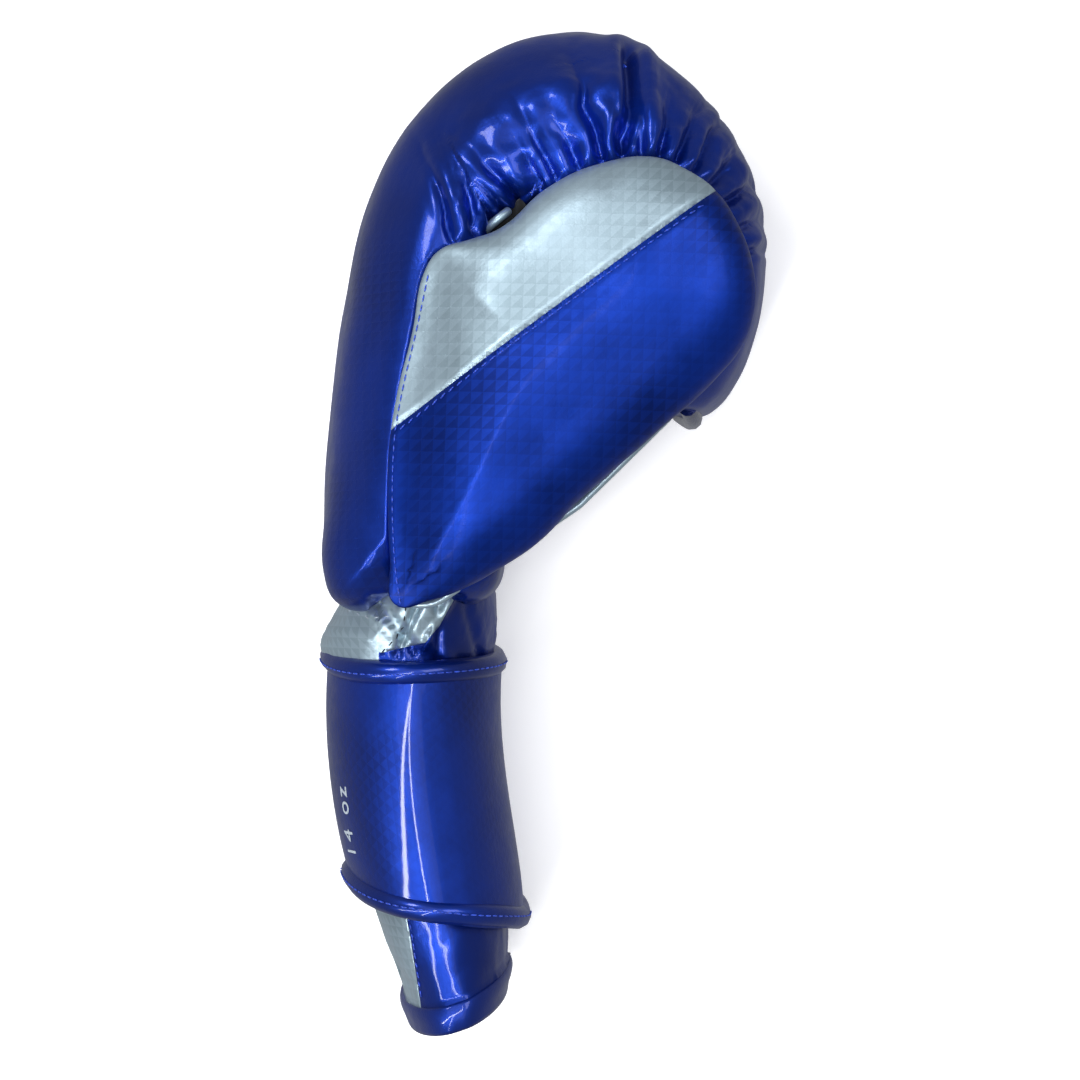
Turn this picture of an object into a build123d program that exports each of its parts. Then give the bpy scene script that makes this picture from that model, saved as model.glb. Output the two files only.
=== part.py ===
from build123d import *
from math import atan2, cos, degrees, radians, sin
import os

# A left-hand 14 oz training glove, lying on its little-finger side with the thumb on top.
# X runs from the back of the hand to the palm, Y from the cuff mouth to the knuckles and Z from
# the little-finger side up to the thumb. The mitt is a leather skin over moulded foam with a
# lined hollow for the curled hand. The thumb is a padded lobe sewn along the back edge of the
# mitt, the cuff hangs on a soft wrist gusset, and a padded hook-and-loop strap wraps the cuff.
# Millimetres. The pieces are built on the mitt's own axes and then moved together, so that the
# part's origin is at the bottom centre of its box.

# ---------------------------------------------------------------- driving sizes
MITT_WIDTH = 108.0  # across the knuckles, little-finger side to thumb side
MITT_ROUND = 17.0  # rounding of the mitt's two side rims
BACK_X = -72.0  # back of the hand at the wrist
MITT_BASE_Y = -20.5  # the mitt's lower edge, where the wrist gusset is sewn
DOME_X, DOME_Y, DOME_R = 12.0, 108.0, 62.0  # the round over the knuckles
DOME_FROM, DOME_TO = 150.0, -5.0  # where that round starts on the back and ends at the fingers
BACK_BULGE = (-66.5, 79.0)  # the back's slight curve passes here
FRONT_BULGE = (72.0, 76.0)  # the curve over the finger joints passes here
FRONT_LOW = (63.5, 52.0)  # where the front turns into the lip
BASE_CORNER_R = 19.0
LIP_X, LIP_Y = 44.0, 41.5  # lowest point of the fingertip lip
LIP_TOP_Y = 62.0  # where the lip ends inside the palm
PALM_SLOPE = 3.0  # how far the palm leans out towards the wrist
BACK_SLOPE = 0.5

HAND_GAP = 28.0  # thickness of the hollow for the hand
HAND_WIDTH = 74.0  # its width across the knuckles
CROOK_X, CROOK_Y = 4.0, 82.0  # centre that the fingers curl round
CURL_R = 34.0  # radius of the hollow's middle line as it curls over
HOLLOW_BASE_X = -41.0  # the hollow's middle at the wrist
FINGERTIP_Y = 68.0  # where the hollow ends at the fingertips
HOLLOW_ROUND = 11.0

LEATHER = 1.2
LINING = 1.5
PALM_PAD = 4.0
INNER_FOAM = 9.0  # the soft foam layer next to the hand
PANEL_LAP = 10.0  # how far the palm and finger panels wrap onto the mitt's sides
PANEL_LOW_Y = 0.0  # where the palm panel ends towards the wrist
PANEL_EDGE = 5.0  # how far the palm and finger panels end from the mitt's two sides
SEAT = 0.1  # clearance between layers of one body
BODY_GAP = 0.3  # clearance between pieces that move apart

THUMB_HEIGHT = 42.0
THUMB_ROUND = 11.8
THUMB_UNDER_ROUND = 5.0
THUMB_TIP = (33.0, 88.0, 40.0)  # x, y and radius of the rounds that the lobe is drawn over
THUMB_SHOULDER = (-28.5, 85.0, 12.0)
THUMB_BASE = (-38.5, -8.5, 12.0)
THUMB_HEEL = (5.2, 21.5, 12.0)
THUMB_POCKET_R = 14.5
POCKET_ROUND = 0.8  # rounding of its rims as a share of its radius
THUMB_POCKET_ROOT = (-24.5, 40.0)
THUMB_POCKET_TIP = (34.0, 86.0)
THUMB_MOUTH = (-30.0, 38.0)  # the way from the hand's hollow into the thumb
THUMB_MOUTH_R = 9.5
THUMB_MOUTH_LENGTH = 12.0
SPLIT_LOW = (-60.0, 33.1)  # the thumb's diagonal seam, silver above it and blue below
SPLIT_HIGH = (80.0, 132.2)
THUMB_PIPING_R = 1.2
PIPING_HEIGHT = 2.2  # above the lobe's underside
PIPING_SHARE = 0.6  # how far it runs up the lobe's straight palm edge
PIPING_BASE_TURN = 80.0  # and round the lobe's base

GRIP_R = 9.5
GRIP_END_MARGIN = 13.0
LIP_BINDING = 1.5
SEAM_CORD_R = 1.7
SEAM_CORD_FROM = 0.5  # shares of the thumb's straight upper edge where these pieces sit
SEAM_CORD_TURN = -35.0  # how far the cord follows the round of the thumb's tip
LOCK_STRAP = (12.0, 1.0, 12.0)  # length, thickness and height of the elastic beside the thumb
LOCK_STRAP_AT = 0.58
LOCK_TAB = (5.0, 1.2, 5.0)
LOCK_TAB_AT = 0.36
LIP_SPAN = 24.0

CUFF_WALL = 8.0  # leather, foam and lining of the cuff
MOUTH_WALL = 4.5  # the same at the mouth, where the foam thins out
CUFF_RINGS = (  # centre, half thickness, half width, turn about Z, lean about X
    ((-41.0, -31.0, 54.0), 25.0, 38.0, 0.0, 3.0),
    ((-43.0, -58.0, 52.5), 24.0, 40.0, -2.0, 4.0),
    ((-34.5, -122.0, 48.5), 23.5, 41.0, -4.0, 4.0),
    ((-28.5, -157.5, 46.5), 15.5, 42.0, 18.0, 7.0),
)
CUFF_SEAM = (-45.5, -40.5)  # X of the silver and blue panels' seam at the wrist and at the mouth
GUSSET_TOP = ((-41.0, -20.7, 54.0), 24.5, 37.0, 0.0, 0.0)
GUSSET_WALL = 2.5
MOUTH_BINDING = 8.0  # how far the mouth's binding reaches up the cuff
MOUTH_PROUD = 1.4
SLIT_ANGLE = -28.0  # angles run round the cuff: 0 at the palm, 90 at the thumb, 180 at the back
SLIT_WIDTH = 5.0
SLIT_TOP_Y = -62.0
GUSSET_DEPTH = 2.0  # how deep the elastic in the slit lies under the leather

STRAP_TOP = ((-44.0, -37.5, 53.0), -1.0, 5.0)  # centre, turn and lean of the strap's two edges
STRAP_BOTTOM = ((-36.4, -123.0, 48.5), -12.5, 3.6)
STRAP_LINING = 0.9
STRAP_FOAM = 3.0
STRAP_COVER = 1.2
BINDING = 9.0  # width of the bindings along the strap's edges
BINDING_PROUD = 1.6
STRAP_ROOT = 195.0  # where the strap leaves its sewn end
STRAP_FOLD = 80.0  # where it folds back as it is opened
STRAP_END = -75.0
ANCHOR_SPAN = 20.0  # the sewn end beyond the root
PATCH = 0.6  # thickness of the hook and of the loop tape
PATCH_FROM, PATCH_TO = -73.0, -36.0
CUT_GAP = 0.3  # half the gap between two stretches of the strap, in degrees
END_BINDING = 2.6  # how far the binding runs past the strap's free end, in degrees
END_LEG = 13.0  # and how far it reaches back over the cover
FAR = 400.0
OVERRUN = 6.0  # how far a cutting shape runs past what it cuts

# heights of the strap's layers above the cuff's leather
LINING_TOP = BODY_GAP + STRAP_LINING
FOAM_TOP = LINING_TOP + STRAP_FOAM
COVER_TOP = FOAM_TOP + STRAP_COVER
BINDING_TOP = COVER_TOP + BINDING_PROUD
THUMB_LOW = MITT_WIDTH + BODY_GAP  # the thumb lobe's underside
CORD_OFFSET = 2 * BODY_GAP + LOCK_STRAP[1] + SEAM_CORD_R
PIPING_OFFSET = THUMB_PIPING_R / 2 + SEAT / 2
PATCH_EDGE = BINDING + 1.0  # how far the hook and loop tapes stay from the strap's edges
PATCH_LAP = 1.0  # degrees of room past each end of the tapes
PATCH_ROOM = 0.5  # clearance in the strap round the tapes
PATCH_ROOM_TOP = 2 * PATCH + BODY_GAP + SEAT
CROOK_R = CURL_R - HAND_GAP / 2 - LINING - PALM_PAD - LEATHER - 3 * SEAT  # inside of the crook


# ---------------------------------------------------------------- mitt forms
def mitt_outline():
    """The hooked side view of the mitt: back of the hand, knuckles, fingers, lip and palm."""
    dome = (DOME_X, DOME_Y)
    back_end = (DOME_X + DOME_R * cos(radians(DOME_FROM)), DOME_Y + DOME_R * sin(radians(DOME_FROM)))
    front_end = (DOME_X + DOME_R * cos(radians(DOME_TO)), DOME_Y + DOME_R * sin(radians(DOME_TO)))
    palm_x = CROOK_X - CROOK_R
    finger_x = CROOK_X + CROOK_R
    with BuildSketch() as outline:
        with BuildLine():
            back = ThreePointArc((BACK_X, 15.0), BACK_BULGE, back_end)
            CenterArc(dome, DOME_R, DOME_FROM, DOME_TO - DOME_FROM)
            front = ThreePointArc(front_end, FRONT_BULGE, FRONT_LOW)
            lip = ThreePointArc(front @ 1, (LIP_X, LIP_Y), (finger_x, LIP_TOP_Y))
            Line(lip @ 1, (finger_x, CROOK_Y))
            CenterArc((CROOK_X, CROOK_Y), CROOK_R, 0, 180)
            palm = Line((palm_x, CROOK_Y), (palm_x - PALM_SLOPE, MITT_BASE_Y))
            base = Line(palm @ 1, (BACK_X + BACK_SLOPE, MITT_BASE_Y))
            Line(base @ 1, back @ 0)
        make_face()
        corners = outline.vertices().filter_by(lambda v: abs(v.Y - MITT_BASE_Y) < 0.01)
        fillet(corners, BASE_CORNER_R)
    return outline.sketch


def mitt_envelope(inset):
    """The mitt's outer form, pulled in by a distance on every side."""
    with BuildPart() as form:
        with BuildSketch(Plane.XY.offset(inset)):
            add(offset(mitt_outline(), -inset, mode=Mode.PRIVATE) if inset else mitt_outline())
        extrude(amount=MITT_WIDTH - 2 * inset)
        rims = form.edges().filter_by(Plane.XY).group_by(Axis.Z)
        fillet([*rims[0], *rims[-1]], MITT_ROUND - inset)
    return form.part


def hand_hollow(grow):
    """The hollow that the hand fills, grown by a distance; it runs out at the wrist."""
    left = (CROOK_X - CURL_R, CROOK_Y)
    right = (CROOK_X + CURL_R, CROOK_Y)
    with BuildPart() as hollow:
        with BuildSketch(Plane.XY.offset(MITT_WIDTH / 2)):
            with BuildLine() as path:
                Line((HOLLOW_BASE_X, MITT_BASE_Y - OVERRUN), left)
                CenterArc((CROOK_X, CROOK_Y), CURL_R, 180, -180)
                Line(right, (CROOK_X + CURL_R, FINGERTIP_Y))
            trace(path.line, HAND_GAP + 2 * grow)
            with Locations((CROOK_X + CURL_R, FINGERTIP_Y)):
                Circle(HAND_GAP / 2 + grow)
            with Locations(left):
                Circle(HAND_GAP / 2 + grow)
        extrude(amount=HAND_WIDTH / 2 + grow, both=True)
        sides = hollow.edges().filter_by(Plane.XY).group_by(Axis.Z)
        fillet([*sides[0], *sides[-1]], HOLLOW_ROUND)
    return hollow.part


def palm_side_zone():
    """The space of the palm and finger panels, over the whole width of the mitt."""
    reach = CROOK_R + PANEL_LAP
    with BuildPart() as zone:
        with BuildSketch(Plane.XY.offset(PANEL_EDGE)):
            with Locations((CROOK_X, CROOK_Y)):
                Circle(reach)
                Rectangle(2 * reach, CROOK_Y - PANEL_LOW_Y, align=(Align.CENTER, Align.MAX))
        extrude(amount=MITT_WIDTH - 2 * PANEL_EDGE)
    return zone.part


def thumb_passage(grow):
    """The way from the hand's hollow up into the thumb's."""
    with BuildPart() as passage:
        with BuildSketch(Plane.XY.offset(MITT_WIDTH / 2 + HAND_WIDTH / 4)):
            with Locations(THUMB_MOUTH):
                SlotCenterToCenter(THUMB_MOUTH_LENGTH, 2 * (THUMB_MOUTH_R + grow), rotation=90)
        extrude(amount=MITT_WIDTH / 2 - HAND_WIDTH / 4 + THUMB_HEIGHT / 2)
    return passage.part


def half_space_x(x, keep_right):
    """Everything on one side of a plane across X."""
    with BuildPart() as block:
        with BuildSketch(Plane.XY.offset(-FAR / 2)):
            with Locations((x, 0)):
                Rectangle(FAR, 2 * FAR, align=(Align.MIN if keep_right else Align.MAX, Align.CENTER))
        extrude(amount=FAR)
    return block.part


# ---------------------------------------------------------------- thumb forms
def thumb_outline(inset):
    """The taut outline over the thumb's four rounds, pulled in by a distance."""
    rounds = (THUMB_BASE, THUMB_SHOULDER, THUMB_TIP, THUMB_HEEL)
    edges = [Edge.make_circle(radius - inset, Plane((x, y, 0))) for x, y, radius in rounds]
    with BuildSketch() as outline:
        make_hull(edges)
    return outline.sketch


def thumb_envelope(inset):
    """The thumb lobe's outer form, pulled in by a distance on every side."""
    with BuildPart() as lobe:
        with BuildSketch(Plane.XY.offset(THUMB_LOW + inset)):
            add(thumb_outline(inset))
        extrude(amount=THUMB_HEIGHT - 2 * inset)
        fillet(lobe.edges().filter_by(Plane.XY).group_by(Axis.Z)[-1], THUMB_ROUND - inset)
        fillet(lobe.edges().filter_by(Plane.XY).group_by(Axis.Z)[0], THUMB_UNDER_ROUND - inset)
    return lobe.part


def thumb_pocket(grow):
    """The thumb's hollow, with its way down to the hand."""
    root = Vector(*THUMB_POCKET_ROOT)
    tip = Vector(*THUMB_POCKET_TIP)
    radius = THUMB_POCKET_R + grow
    with BuildPart() as pocket:
        with BuildSketch(Plane.XY.offset(THUMB_LOW + THUMB_HEIGHT / 2)):
            with BuildLine() as middle:
                Line(root, tip)
            trace(middle.line, 2 * radius)
            with Locations(root, tip):
                Circle(radius)
        extrude(amount=radius, both=True)
        rims = pocket.edges().filter_by(Plane.XY).group_by(Axis.Z)
        fillet([*rims[0], *rims[-1]], POCKET_ROUND * radius)
        add(thumb_passage(grow))
    return pocket.part


def tangent(first, second, grow):
    """The straight stretch over two rounds, on the left of the way from one to the other."""
    start = Vector(first[0], first[1])
    end = Vector(second[0], second[1])
    along = (end - start).normalized()
    share = (first[2] - second[2]) / (end - start).length
    normal = along * share + Vector(-along.Y, along.X) * (1 - share**2) ** 0.5
    return start + normal * (first[2] + grow), end + normal * (second[2] + grow), normal


def beside_thumb(size, share, low, gap):
    """A block standing along the thumb's upper edge, at a share of its length."""
    start, end, normal = tangent(THUMB_SHOULDER, THUMB_TIP, gap)
    foot = start + (end - start) * share
    with BuildPart() as block:
        with BuildSketch(Plane(origin=(foot.X, foot.Y, low), x_dir=end - start, z_dir=(0, 0, 1))):
            Rectangle(size[0], size[1], align=(Align.CENTER, Align.MIN))
        extrude(amount=size[2])
    return block.part


# ---------------------------------------------------------------- cuff and strap forms
def across_cuff(centre, turn, lean):
    """A plane across the cuff; its x runs to the palm side and its normal to the mouth."""
    across = Vector(cos(radians(turn)), sin(radians(turn)), 0)
    up = Vector(0, -sin(radians(lean)), cos(radians(lean)))
    return Plane(origin=centre, x_dir=across, z_dir=across.cross(up))


def cuff_form(growths):
    """The cuff's closed outer form, grown by one distance at each of its four rings."""
    with BuildPart() as form:
        for (centre, thickness, width, turn, lean), growth in zip(CUFF_RINGS, growths):
            with BuildSketch(across_cuff(centre, turn, lean)):
                Ellipse(thickness + growth, width + growth)
        loft()
    return form.part


def grown_cuff(growth):
    """The cuff's outer form, grown evenly."""
    return cuff_form((growth,) * len(CUFF_RINGS))


def cuff_hollow(grow):
    """The cuff's hollow, grown by a distance; its wall thins towards the mouth."""
    walls = (CUFF_WALL, CUFF_WALL, CUFF_WALL, MOUTH_WALL)
    return cuff_form([grow - wall for wall in walls])


MOUTH_PLANE = across_cuff(CUFF_RINGS[-1][0], *CUFF_RINGS[-1][3:])
CUFF_TOP_PLANE = across_cuff(CUFF_RINGS[0][0], *CUFF_RINGS[0][3:])
STRAP_TOP_PLANE = across_cuff(*STRAP_TOP)
STRAP_BOTTOM_PLANE = across_cuff(*STRAP_BOTTOM)
CUFF_AXIS = Plane(
    origin=Vector(*CUFF_RINGS[1][0]),
    x_dir=(1, 0, 0),
    z_dir=Vector(*CUFF_RINGS[2][0]) - Vector(*CUFF_RINGS[1][0]),
)


def sector(from_angle, to_angle):
    """A wedge of space round the cuff's axis."""
    with BuildPart() as wedge:
        with BuildSketch(CUFF_AXIS.offset(-FAR / 2)):
            with BuildLine():
                rim = CenterArc((0, 0), FAR / 2, from_angle, to_angle - from_angle)
                Line((0, 0), rim @ 0)
                Line(rim @ 1, (0, 0))
            make_face()
        extrude(amount=FAR)
    return wedge.part


def strap_layer(inner, outer, from_angle, to_angle, edge):
    """Part of the strap between two heights above the leather, short of both long edges."""
    with BuildPart() as layer:
        add(grown_cuff(outer))
        add(grown_cuff(inner), mode=Mode.SUBTRACT)
        split(bisect_by=STRAP_TOP_PLANE.offset(edge), keep=Keep.TOP)
        split(bisect_by=STRAP_BOTTOM_PLANE.offset(-edge), keep=Keep.BOTTOM)
        add(sector(from_angle, to_angle), mode=Mode.INTERSECT)
    return layer.part


def strap_binding(from_angle, to_angle, at_top):
    """The folded binding over one long edge of the strap, an L in section."""
    edge = LEATHER + SEAT
    with BuildPart() as binding:
        add(strap_layer(BODY_GAP, BINDING_TOP, from_angle, to_angle, 0))
        add(strap_layer(0, COVER_TOP + SEAT, from_angle - PATCH_LAP, to_angle + PATCH_LAP, edge), mode=Mode.SUBTRACT)
        if at_top:
            split(bisect_by=STRAP_TOP_PLANE.offset(BINDING), keep=Keep.BOTTOM)
        else:
            split(bisect_by=STRAP_BOTTOM_PLANE.offset(-BINDING), keep=Keep.TOP)
    return binding.part


def slit_box(width):
    """The slot of the cuff's slit, from its top to past the mouth."""
    length = FAR / 2
    with BuildPart() as slot:
        with BuildSketch(Plane.XZ.offset(-SLIT_TOP_Y)):
            with Locations((CUFF_RINGS[2][0][0], CUFF_RINGS[2][0][2])):
                Rectangle(length, width, rotation=SLIT_ANGLE, align=(Align.MIN, Align.CENTER))
        extrude(amount=length)
    return slot.part


def seam_side(silver):
    """The space on the silver or the blue side of the cuff's panel seam."""
    low = (CUFF_SEAM[1], CUFF_RINGS[-1][0][1])
    high = (CUFF_SEAM[0], CUFF_RINGS[0][0][1])
    with BuildPart() as side:
        with BuildSketch(Plane.XY.offset(-FAR / 2)):
            with BuildLine():
                seam = Line(Vector(*high) + (Vector(*high) - Vector(*low)), Vector(*low) * 2 - Vector(*high))
                far_x = -FAR if silver else FAR
                Polyline(seam @ 1, (far_x, (seam @ 1).Y), (far_x, (seam @ 0).Y), seam @ 0)
            make_face()
        extrude(amount=FAR)
    return side.part


pieces = []

# ---------------------------------------------------------------- mitt pieces
mitt_outer = mitt_envelope(0)
mitt_core = mitt_envelope(LEATHER + SEAT)
palm_side = palm_side_zone()
hand_room = hand_hollow(LINING + SEAT)

with BuildPart() as back_shell:
    add(mitt_outer)
    add(mitt_core, mode=Mode.SUBTRACT)
    add(palm_side, mode=Mode.SUBTRACT)
    add(hand_room, mode=Mode.SUBTRACT)
    add(thumb_passage(LINING + SEAT), mode=Mode.SUBTRACT)
back_shell.part.label = "back_shell"
pieces.append(back_shell.part)

with BuildPart() as palm_panel:
    add(mitt_outer)
    add(mitt_core, mode=Mode.SUBTRACT)
    add(palm_side, mode=Mode.INTERSECT)
    add(half_space_x(CROOK_X, keep_right=False), mode=Mode.INTERSECT)
palm_panel.part.label = "palm_panel"
pieces.append(palm_panel.part)

with BuildPart() as finger_panel:
    add(mitt_outer)
    add(mitt_core, mode=Mode.SUBTRACT)
    add(palm_side, mode=Mode.INTERSECT)
    add(half_space_x(CROOK_X, keep_right=True), mode=Mode.INTERSECT)
finger_panel.part.label = "finger_panel"
pieces.append(finger_panel.part)

with BuildPart() as palm_pad:
    add(mitt_core)
    add(palm_side, mode=Mode.INTERSECT)
    add(hand_room, mode=Mode.SUBTRACT)
palm_pad.part.label = "palm_pad"
pieces.append(palm_pad.part)

with BuildPart() as foam_inner:
    add(mitt_core)
    add(hand_hollow(LINING + SEAT + INNER_FOAM), mode=Mode.INTERSECT)
    add(palm_side, mode=Mode.SUBTRACT)
    add(hand_room, mode=Mode.SUBTRACT)
    add(thumb_passage(LINING + SEAT), mode=Mode.SUBTRACT)
foam_inner.part.label = "foam_inner"
pieces.append(foam_inner.part)

with BuildPart() as foam_outer:
    add(mitt_core)
    add(hand_hollow(LINING + SEAT + INNER_FOAM), mode=Mode.SUBTRACT)
    add(palm_side, mode=Mode.SUBTRACT)
    add(thumb_passage(LINING + SEAT), mode=Mode.SUBTRACT)
foam_outer.part.label = "foam_outer"
pieces.append(foam_outer.part)

with BuildPart() as hand_liner:
    add(hand_hollow(LINING))
    add(hand_hollow(0), mode=Mode.SUBTRACT)
    split(bisect_by=Plane.XZ.offset(-MITT_BASE_Y), keep=Keep.BOTTOM)
    add(thumb_passage(0), mode=Mode.SUBTRACT)
hand_liner.part.label = "hand_liner"
pieces.append(hand_liner.part)

with BuildPart() as passage_liner:
    add(thumb_passage(LINING))
    add(thumb_passage(0), mode=Mode.SUBTRACT)
    split(bisect_by=Plane.XY.offset(MITT_WIDTH), keep=Keep.BOTTOM)
    add(hand_hollow(LINING + SEAT), mode=Mode.SUBTRACT)
passage_liner.part.label = "passage_liner"
pieces.append(passage_liner.part)

with BuildPart() as grip_bar:
    with BuildSketch(Plane.XY.offset(GRIP_END_MARGIN)):
        with Locations((CROOK_X, CROOK_Y)):
            Circle(GRIP_R)
    extrude(amount=MITT_WIDTH - 2 * GRIP_END_MARGIN)
grip_bar.part.label = "grip_bar"
pieces.append(grip_bar.part)

with BuildPart() as grip_bar_cover:
    with BuildSketch(Plane.XY.offset(GRIP_END_MARGIN)):
        with Locations((CROOK_X, CROOK_Y)):
            Circle(CROOK_R - BODY_GAP)
            Circle(GRIP_R + SEAT, mode=Mode.SUBTRACT)
    extrude(amount=MITT_WIDTH - 2 * GRIP_END_MARGIN)
grip_bar_cover.part.label = "grip_bar_cover"
pieces.append(grip_bar_cover.part)

with BuildPart() as lip_binding:
    with BuildSketch(Plane.XY.offset(MITT_ROUND)):
        add(offset(mitt_outline(), LIP_BINDING, mode=Mode.PRIVATE))
        add(mitt_outline(), mode=Mode.SUBTRACT)
        with Locations((FRONT_LOW[0], LIP_Y)):
            Rectangle(LIP_SPAN, LIP_SPAN, align=(Align.MAX, Align.CENTER), mode=Mode.INTERSECT)
    extrude(amount=MITT_WIDTH - 2 * MITT_ROUND)
lip_binding.part.label = "lip_binding"
pieces.append(lip_binding.part)


cord_start, cord_end, cord_normal = tangent(THUMB_SHOULDER, THUMB_TIP, CORD_OFFSET)
lift = Vector(0, 0, MITT_WIDTH + SEAM_CORD_R)
with BuildPart() as side_seam_cord:
    with BuildLine():
        straight = Line(cord_start + (cord_end - cord_start) * SEAM_CORD_FROM + lift, cord_end + lift)
        CenterArc(
            Vector(THUMB_TIP[0], THUMB_TIP[1]) + lift,
            THUMB_TIP[2] + CORD_OFFSET,
            degrees(atan2(cord_normal.Y, cord_normal.X)),
            SEAM_CORD_TURN,
        )
    with BuildSketch(Plane(origin=straight @ 0, z_dir=straight % 0)):
        Circle(SEAM_CORD_R)
    sweep()
side_seam_cord.part.label = "side_seam_cord"
pieces.append(side_seam_cord.part)

with BuildPart() as thumb_lock_strap:
    add(beside_thumb(LOCK_STRAP, LOCK_STRAP_AT, MITT_WIDTH + SEAT, BODY_GAP))
thumb_lock_strap.part.label = "thumb_lock_strap"
pieces.append(thumb_lock_strap.part)

# ---------------------------------------------------------------- thumb pieces
thumb_outer = thumb_envelope(0)
thumb_core = thumb_envelope(LEATHER + SEAT)
thumb_room = thumb_pocket(LINING + SEAT)
under_seam = Plane.XY.offset(THUMB_LOW + THUMB_UNDER_ROUND)
split_line = Vector(*SPLIT_HIGH) - Vector(*SPLIT_LOW)
split_plane = Plane(origin=(*SPLIT_LOW, 0), x_dir=split_line, z_dir=(-split_line.Y, split_line.X, 0))

with BuildPart() as thumb_panel_silver:
    add(thumb_outer)
    add(thumb_core, mode=Mode.SUBTRACT)
    split(bisect_by=under_seam, keep=Keep.TOP)
    split(bisect_by=split_plane, keep=Keep.TOP)
thumb_panel_silver.part.label = "thumb_panel_silver"
pieces.append(thumb_panel_silver.part)

with BuildPart() as thumb_panel_blue:
    add(thumb_outer)
    add(thumb_core, mode=Mode.SUBTRACT)
    split(bisect_by=under_seam, keep=Keep.TOP)
    split(bisect_by=split_plane, keep=Keep.BOTTOM)
thumb_panel_blue.part.label = "thumb_panel_blue"
pieces.append(thumb_panel_blue.part)

with BuildPart() as thumb_under_panel:
    add(thumb_outer)
    add(thumb_core, mode=Mode.SUBTRACT)
    split(bisect_by=under_seam, keep=Keep.BOTTOM)
    add(thumb_room, mode=Mode.SUBTRACT)
thumb_under_panel.part.label = "thumb_under_panel"
pieces.append(thumb_under_panel.part)

with BuildPart() as thumb_foam:
    add(thumb_core)
    add(thumb_room, mode=Mode.SUBTRACT)
thumb_foam.part.label = "thumb_foam"
pieces.append(thumb_foam.part)

with BuildPart() as thumb_liner:
    add(thumb_pocket(LINING))
    add(thumb_pocket(0), mode=Mode.SUBTRACT)
    split(bisect_by=Plane.XY.offset(THUMB_LOW), keep=Keep.TOP)
thumb_liner.part.label = "thumb_liner"
pieces.append(thumb_liner.part)

with BuildPart() as thumb_lock_tab:
    add(beside_thumb(LOCK_TAB, LOCK_TAB_AT, THUMB_LOW + THUMB_UNDER_ROUND, 0))
thumb_lock_tab.part.label = "thumb_lock_tab"
pieces.append(thumb_lock_tab.part)

heel_point, base_point, low_normal = tangent(THUMB_HEEL, THUMB_BASE, PIPING_OFFSET)
tip_point, bend_point, side_normal = tangent(THUMB_TIP, THUMB_HEEL, PIPING_OFFSET)
piping_lift = Vector(0, 0, THUMB_LOW + PIPING_HEIGHT)
low_angle = degrees(atan2(low_normal.Y, low_normal.X))
side_angle = degrees(atan2(side_normal.Y, side_normal.X))
with BuildPart() as thumb_piping:
    with BuildLine():
        start = bend_point + (tip_point - bend_point) * PIPING_SHARE
        side = Line(start + piping_lift, bend_point + piping_lift)
        CenterArc(
            Vector(THUMB_HEEL[0], THUMB_HEEL[1]) + piping_lift,
            THUMB_HEEL[2] + PIPING_OFFSET,
            side_angle,
            low_angle - side_angle,
        )
        Line(heel_point + piping_lift, base_point + piping_lift)
        CenterArc(
            Vector(THUMB_BASE[0], THUMB_BASE[1]) + piping_lift,
            THUMB_BASE[2] + PIPING_OFFSET,
            low_angle,
            -PIPING_BASE_TURN,
        )
    with BuildSketch(Plane(origin=side @ 0, z_dir=side % 0)):
        Circle(THUMB_PIPING_R)
    sweep()
thumb_piping.part.label = "thumb_piping"
pieces.append(thumb_piping.part)

# ---------------------------------------------------------------- wrist gusset
GUSSET_LOW_PLANE = CUFF_TOP_PLANE.offset(-2 * SEAT)


def gusset_form(inset):
    """The soft wrist between the mitt and the cuff, pulled in by a distance."""
    with BuildPart() as form:
        with BuildSketch(across_cuff(GUSSET_TOP[0], *GUSSET_TOP[3:])):
            Ellipse(GUSSET_TOP[1] - inset, GUSSET_TOP[2] - inset)
        with BuildSketch(GUSSET_LOW_PLANE):
            Ellipse(CUFF_RINGS[0][1] - inset, CUFF_RINGS[0][2] - inset)
        loft()
    return form.part


with BuildPart() as wrist_gusset_silver:
    add(gusset_form(0))
    add(gusset_form(GUSSET_WALL), mode=Mode.SUBTRACT)
    add(seam_side(silver=True), mode=Mode.INTERSECT)
wrist_gusset_silver.part.label = "wrist_gusset_silver"
pieces.append(wrist_gusset_silver.part)

with BuildPart() as wrist_gusset_blue:
    add(gusset_form(0))
    add(gusset_form(GUSSET_WALL), mode=Mode.SUBTRACT)
    add(seam_side(silver=False), mode=Mode.INTERSECT)
wrist_gusset_blue.part.label = "wrist_gusset_blue"
pieces.append(wrist_gusset_blue.part)

# ---------------------------------------------------------------- cuff pieces
cuff_end = MOUTH_PLANE.offset(-LEATHER - SEAT)
slit = slit_box(SLIT_WIDTH)

with BuildPart() as cuff_panel_silver:
    add(grown_cuff(0))
    add(grown_cuff(-LEATHER), mode=Mode.SUBTRACT)
    split(bisect_by=cuff_end, keep=Keep.BOTTOM)
    add(seam_side(silver=True), mode=Mode.INTERSECT)
cuff_panel_silver.part.label = "cuff_panel_silver"
pieces.append(cuff_panel_silver.part)

with BuildPart() as cuff_panel_blue:
    add(grown_cuff(0))
    add(grown_cuff(-LEATHER), mode=Mode.SUBTRACT)
    split(bisect_by=cuff_end, keep=Keep.BOTTOM)
    add(seam_side(silver=False), mode=Mode.INTERSECT)
    add(slit, mode=Mode.SUBTRACT)
cuff_panel_blue.part.label = "cuff_panel_blue"
pieces.append(cuff_panel_blue.part)

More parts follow.
